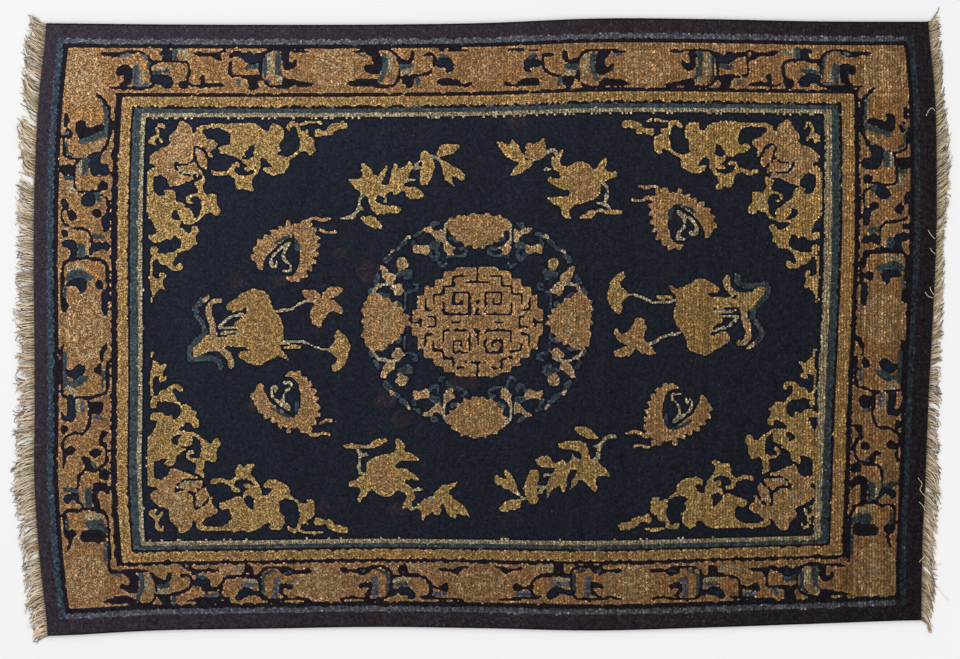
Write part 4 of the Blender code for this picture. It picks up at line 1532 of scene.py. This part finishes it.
def fringe(name, side, yarn_colour, strays):
    """One end's fringe: its web, two layers of yarns and stray ends."""
    rng = np.random.default_rng(side["seed"])
    runs = [fringe_paths(side, rng, count, layer) for layer, count in enumerate(YARN_COUNTS)]
    paths = np.concatenate([run[0] for run in runs])
    radii = np.concatenate([run[1] for run in runs])
    shade = np.concatenate([run[2] for run in runs])
    lines = []
    for radius, height, *points in strays:
        line = smooth(points)
        share = np.linspace(0, len(line) - 1, YARN_BENDS)
        place = [np.interp(share, np.arange(len(line)), line[:, axis]) for axis in (0, 1)]
        x = (place[0] - BOARD_MIDDLE[0]) * BOARD_STEP
        y = (BOARD_MIDDLE[1] - place[1]) * BOARD_STEP
        lines.append(np.stack((x, y, np.full(YARN_BENDS, height)), axis=-1))
    paths = np.concatenate((paths, lines))
    radii = np.concatenate((radii, [np.full(YARN_BENDS, row[0]) for row in strays]))
    shade = np.concatenate((shade, np.full((len(strays), YARN_BENDS), 1.15)))
    warmth = rng.normal(0.0, 0.03, len(paths))[:, None, None] * (1.0, 0.0, -1.4)
    # Painted shade turns browner as the yarn darkens
    tints = shade[..., None] ** (1.0, 1.06, 1.25) * yarn_colour * (1.0 + warmth)
    points, walls, caps, colours, uv = tubes(paths, radii, tints, rng)
    web = web_ring(side, WEB_STATIONS, rng)
    web_tone = rng.uniform(0.55, 0.8, (WEB_STATIONS, 1, 1)) * np.ones((1, WEB_SIDES, 1)) * yarn_colour
    offset = len(points)
    wall_corners = len(walls) * 4
    faces = [walls, web[1] + offset, caps, web[2] + offset]
    piece = make_piece(name, np.concatenate((points, web[0])), faces)
    add_colours(piece.data, "POINT", np.concatenate((colours, web_tone.reshape(-1, 3))))
    uv = uv * (0.94, 1.0)
    uv = np.concatenate((uv[:wall_corners], web[3], uv[wall_corners:], web[4]))
    piece.data.uv_layers.new(name="OFBake").data.foreach_set("uv", uv.ravel())
    return piece


def yarn_colour(name, where, display):
    """A colour property: a yarn's name, where it is used, and its display value."""
    return FloatVectorProperty(
        name=name, description=where, subtype="COLOR", size=3, min=0.0, max=1.0,
        default=tuple(float(value) for value in linear(display)),
    )


class RugYarns(PropertyGroup):
    """The colours of the yarns, in the order of the chart's numbers."""

    navy: yarn_colour("Navy", "The field's ground", (39, 43, 56))
    aubergine: yarn_colour("Aubergine", "The outer plain band", (61, 53, 63))
    slate: yarn_colour("Slate", "The narrow line inside the outer band", (90, 90, 98))
    tan: yarn_colour("Tan", "The wide border's ground", (154, 117, 79))
    orange: yarn_colour("Orange", "Warm patches of the wide border", (160, 119, 76))
    peony: yarn_colour("Peony", "The wide border's flowers", (170, 140, 102))
    gold: yarn_colour("Gold", "The gold stripe and the bulbs", (160, 127, 81))
    teal: yarn_colour("Teal", "The teal stripe and scroll linings", (64, 75, 79))
    cream: yarn_colour("Cream", "The cream stripe and highlights", (158, 144, 114))
    dark: yarn_colour("Dark", "Outlines", (36, 32, 40))
    sand: yarn_colour("Sand", "The roundel and the sprays' flowers", (165, 129, 88))
    straw: yarn_colour("Straw", "The sprays' leaves", (169, 138, 87))
    rust: yarn_colour("Rust", "Reworked patches of the field", (54, 48, 58))
    lake: yarn_colour("Lake", "Soft blue of the medallion's ring", (59, 71, 82))
    cotton: yarn_colour("Cotton", "The fringes' undyed cotton", (224, 203, 175))


class RugSizes(PropertyGroup):
    """The rug's overall sizes."""

    length: FloatProperty(name="Length", description="The carpet's length without its fringes",
                          default=RUG_LENGTH, min=0.5, unit="LENGTH", subtype="DISTANCE")
    width: FloatProperty(name="Width", description="The carpet's width",
                         default=RUG_WIDTH, min=0.3, unit="LENGTH", subtype="DISTANCE")
    seed: IntProperty(name="Seed", description="Which run of small accidents of knotting is used",
                      default=5, min=0)


class RUG_OT_carpet(Operator):
    """Makes the carpet's knotted field and its border from one chart"""

    bl_idname = "rug.carpet"
    bl_label = "Carpet"

    def execute(self, context):
        sizes = context.scene.rug_sizes
        yarns = context.scene.rug_yarns
        rng = np.random.default_rng(sizes.seed)
        chart = knot_chart()
        palette = np.array([getattr(yarns, name) for name in YARN_NAMES])
        colours = knot_colours(chart, palette, rng)
        heights = pile_heights(chart, rng)
        moves = settle(chart.yarns)
        wool = wool_material("knotted wool")
        window = (FIELD_COLUMNS, FIELD_ROWS)
        columns = knot_sides(KNOTS_ALONG, *FIELD_COLUMNS)
        rows = knot_sides(KNOTS_ACROSS, *FIELD_ROWS)
        field = slab("field", colours, heights, moves, columns, rows, rng)
        columns = knot_sides(KNOTS_ALONG, 0, KNOTS_ALONG)
        rows = knot_sides(KNOTS_ACROSS, 0, KNOTS_ACROSS)
        border = slab("border", colours, heights, moves, columns, rows, rng, window)
        for piece in (field, border):
            finish_piece(context, piece, wool, "carpet")
        return {"FINISHED"}


class RUG_OT_fringes(Operator):
    """Makes the cotton fringe at each end"""

    bl_idname = "rug.fringes"
    bl_label = "Fringes"

    def execute(self, context):
        cotton = cotton_material("undyed cotton")
        colour = np.array(context.scene.rug_yarns.cotton)
        for name, side in FRINGES.items():
            piece = fringe(f"fringe_yarns_{name}", side, colour, STRAYS[name])
            finish_piece(context, piece, cotton, f"fringe_{name}")
        return {"FINISHED"}


class RUG_OT_stage(Operator):
    """Makes the pale floor, the soft lights and the camera above"""

    bl_idname = "rug.stage"
    bl_label = "Stage"

    def execute(self, context):
        corners = FLOOR_HALF * np.array(((-1.0, -1, 0), (1, -1, 0), (1, 1, 0), (-1, 1, 0)))
        floor = make_piece("floor", corners, [np.array(((0, 1, 2, 3),))])
        paper = Shader("pale floor", Base_Color=FLOOR_COLOUR, Roughness=0.9, Specular_IOR_Level=0.1)
        floor.data.materials.append(paper.material)
        for name, (place, size, power) in LIGHTS.items():
            data = bpy.data.lights.new(name, "AREA")
            data.shape = "RECTANGLE"
            data.size, data.size_y = size
            data.energy = power
            light = bpy.data.objects.new(name, data)
            light.location = place
            light.rotation_euler = (-light.location).to_track_quat("-Z", "Y").to_euler()
            context.scene.collection.objects.link(light)
        world = bpy.data.worlds.new("soft studio")
        world.use_nodes = True
        world.node_tree.nodes["Background"].inputs["Color"].default_value = (1.0, 1.0, 1.0, 1.0)
        world.node_tree.nodes["Background"].inputs["Strength"].default_value = WORLD_LIGHT
        context.scene.world = world
        context.scene.view_settings.view_transform = "Standard"
        data = bpy.data.cameras.new("camera")
        data.lens = LENS
        data.sensor_width = SENSOR
        data.clip_end = 50.0
        camera = bpy.data.objects.new("camera", data)
        camera.location = (*VIEW_MIDDLE, PILE_TOP + VIEW_WIDTH * LENS / SENSOR)
        context.scene.collection.objects.link(camera)
        context.scene.camera = camera
        return {"FINISHED"}


def finish_piece(context, piece, material, node):
    """A made piece gets its size, its material in a slot and its body, and the CAD part of the node it
    stands for is hidden.
    """
    sizes = context.scene.rug_sizes
    points = np.empty(len(piece.data.vertices) * 3)
    piece.data.vertices.foreach_get("co", points)
    points = points.reshape(-1, 3) * (sizes.length / RUG_LENGTH, sizes.width / RUG_WIDTH, 1.0)
    piece.data.vertices.foreach_set("co", points.ravel())
    piece.data.update()
    piece.data.materials.append(material)
    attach(piece, "root")
    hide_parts(node)


class RUG_PT_panel(Panel):
    """Lists the rug's sizes, yarns and steps"""

    bl_idname = "RUG_PT_panel"
    bl_label = "Pile rug"
    bl_space_type = "VIEW_3D"
    bl_region_type = "UI"
    bl_category = "Rug"

    def draw(self, context):
        layout = self.layout
        for group in (context.scene.rug_sizes, context.scene.rug_yarns):
            box = layout.box()
            for name in group.__annotations__:
                box.prop(group, name)
        for step in STEPS:
            layout.operator(step.bl_idname)


STEPS = (RUG_OT_carpet, RUG_OT_fringes, RUG_OT_stage)
CLASSES = (RugYarns, RugSizes, *STEPS, RUG_PT_panel)
YARN_NAMES = ("navy", "aubergine", "slate", "tan", "orange", "peony", "gold", "teal", "cream",
              "dark", "sand", "straw", "rust", "lake")


def register():
    for made in CLASSES:
        bpy.utils.register_class(made)
    bpy.types.Scene.rug_sizes = PointerProperty(type=RugSizes)
    bpy.types.Scene.rug_yarns = PointerProperty(type=RugYarns)


def unregister():
    del bpy.types.Scene.rug_yarns
    del bpy.types.Scene.rug_sizes
    for made in reversed(CLASSES):
        bpy.utils.unregister_class(made)


def main():
    register()
    bpy.ops.rug.carpet()
    bpy.ops.rug.fringes()
    bpy.ops.rug.stage()


if __name__ == "__main__":
    main()
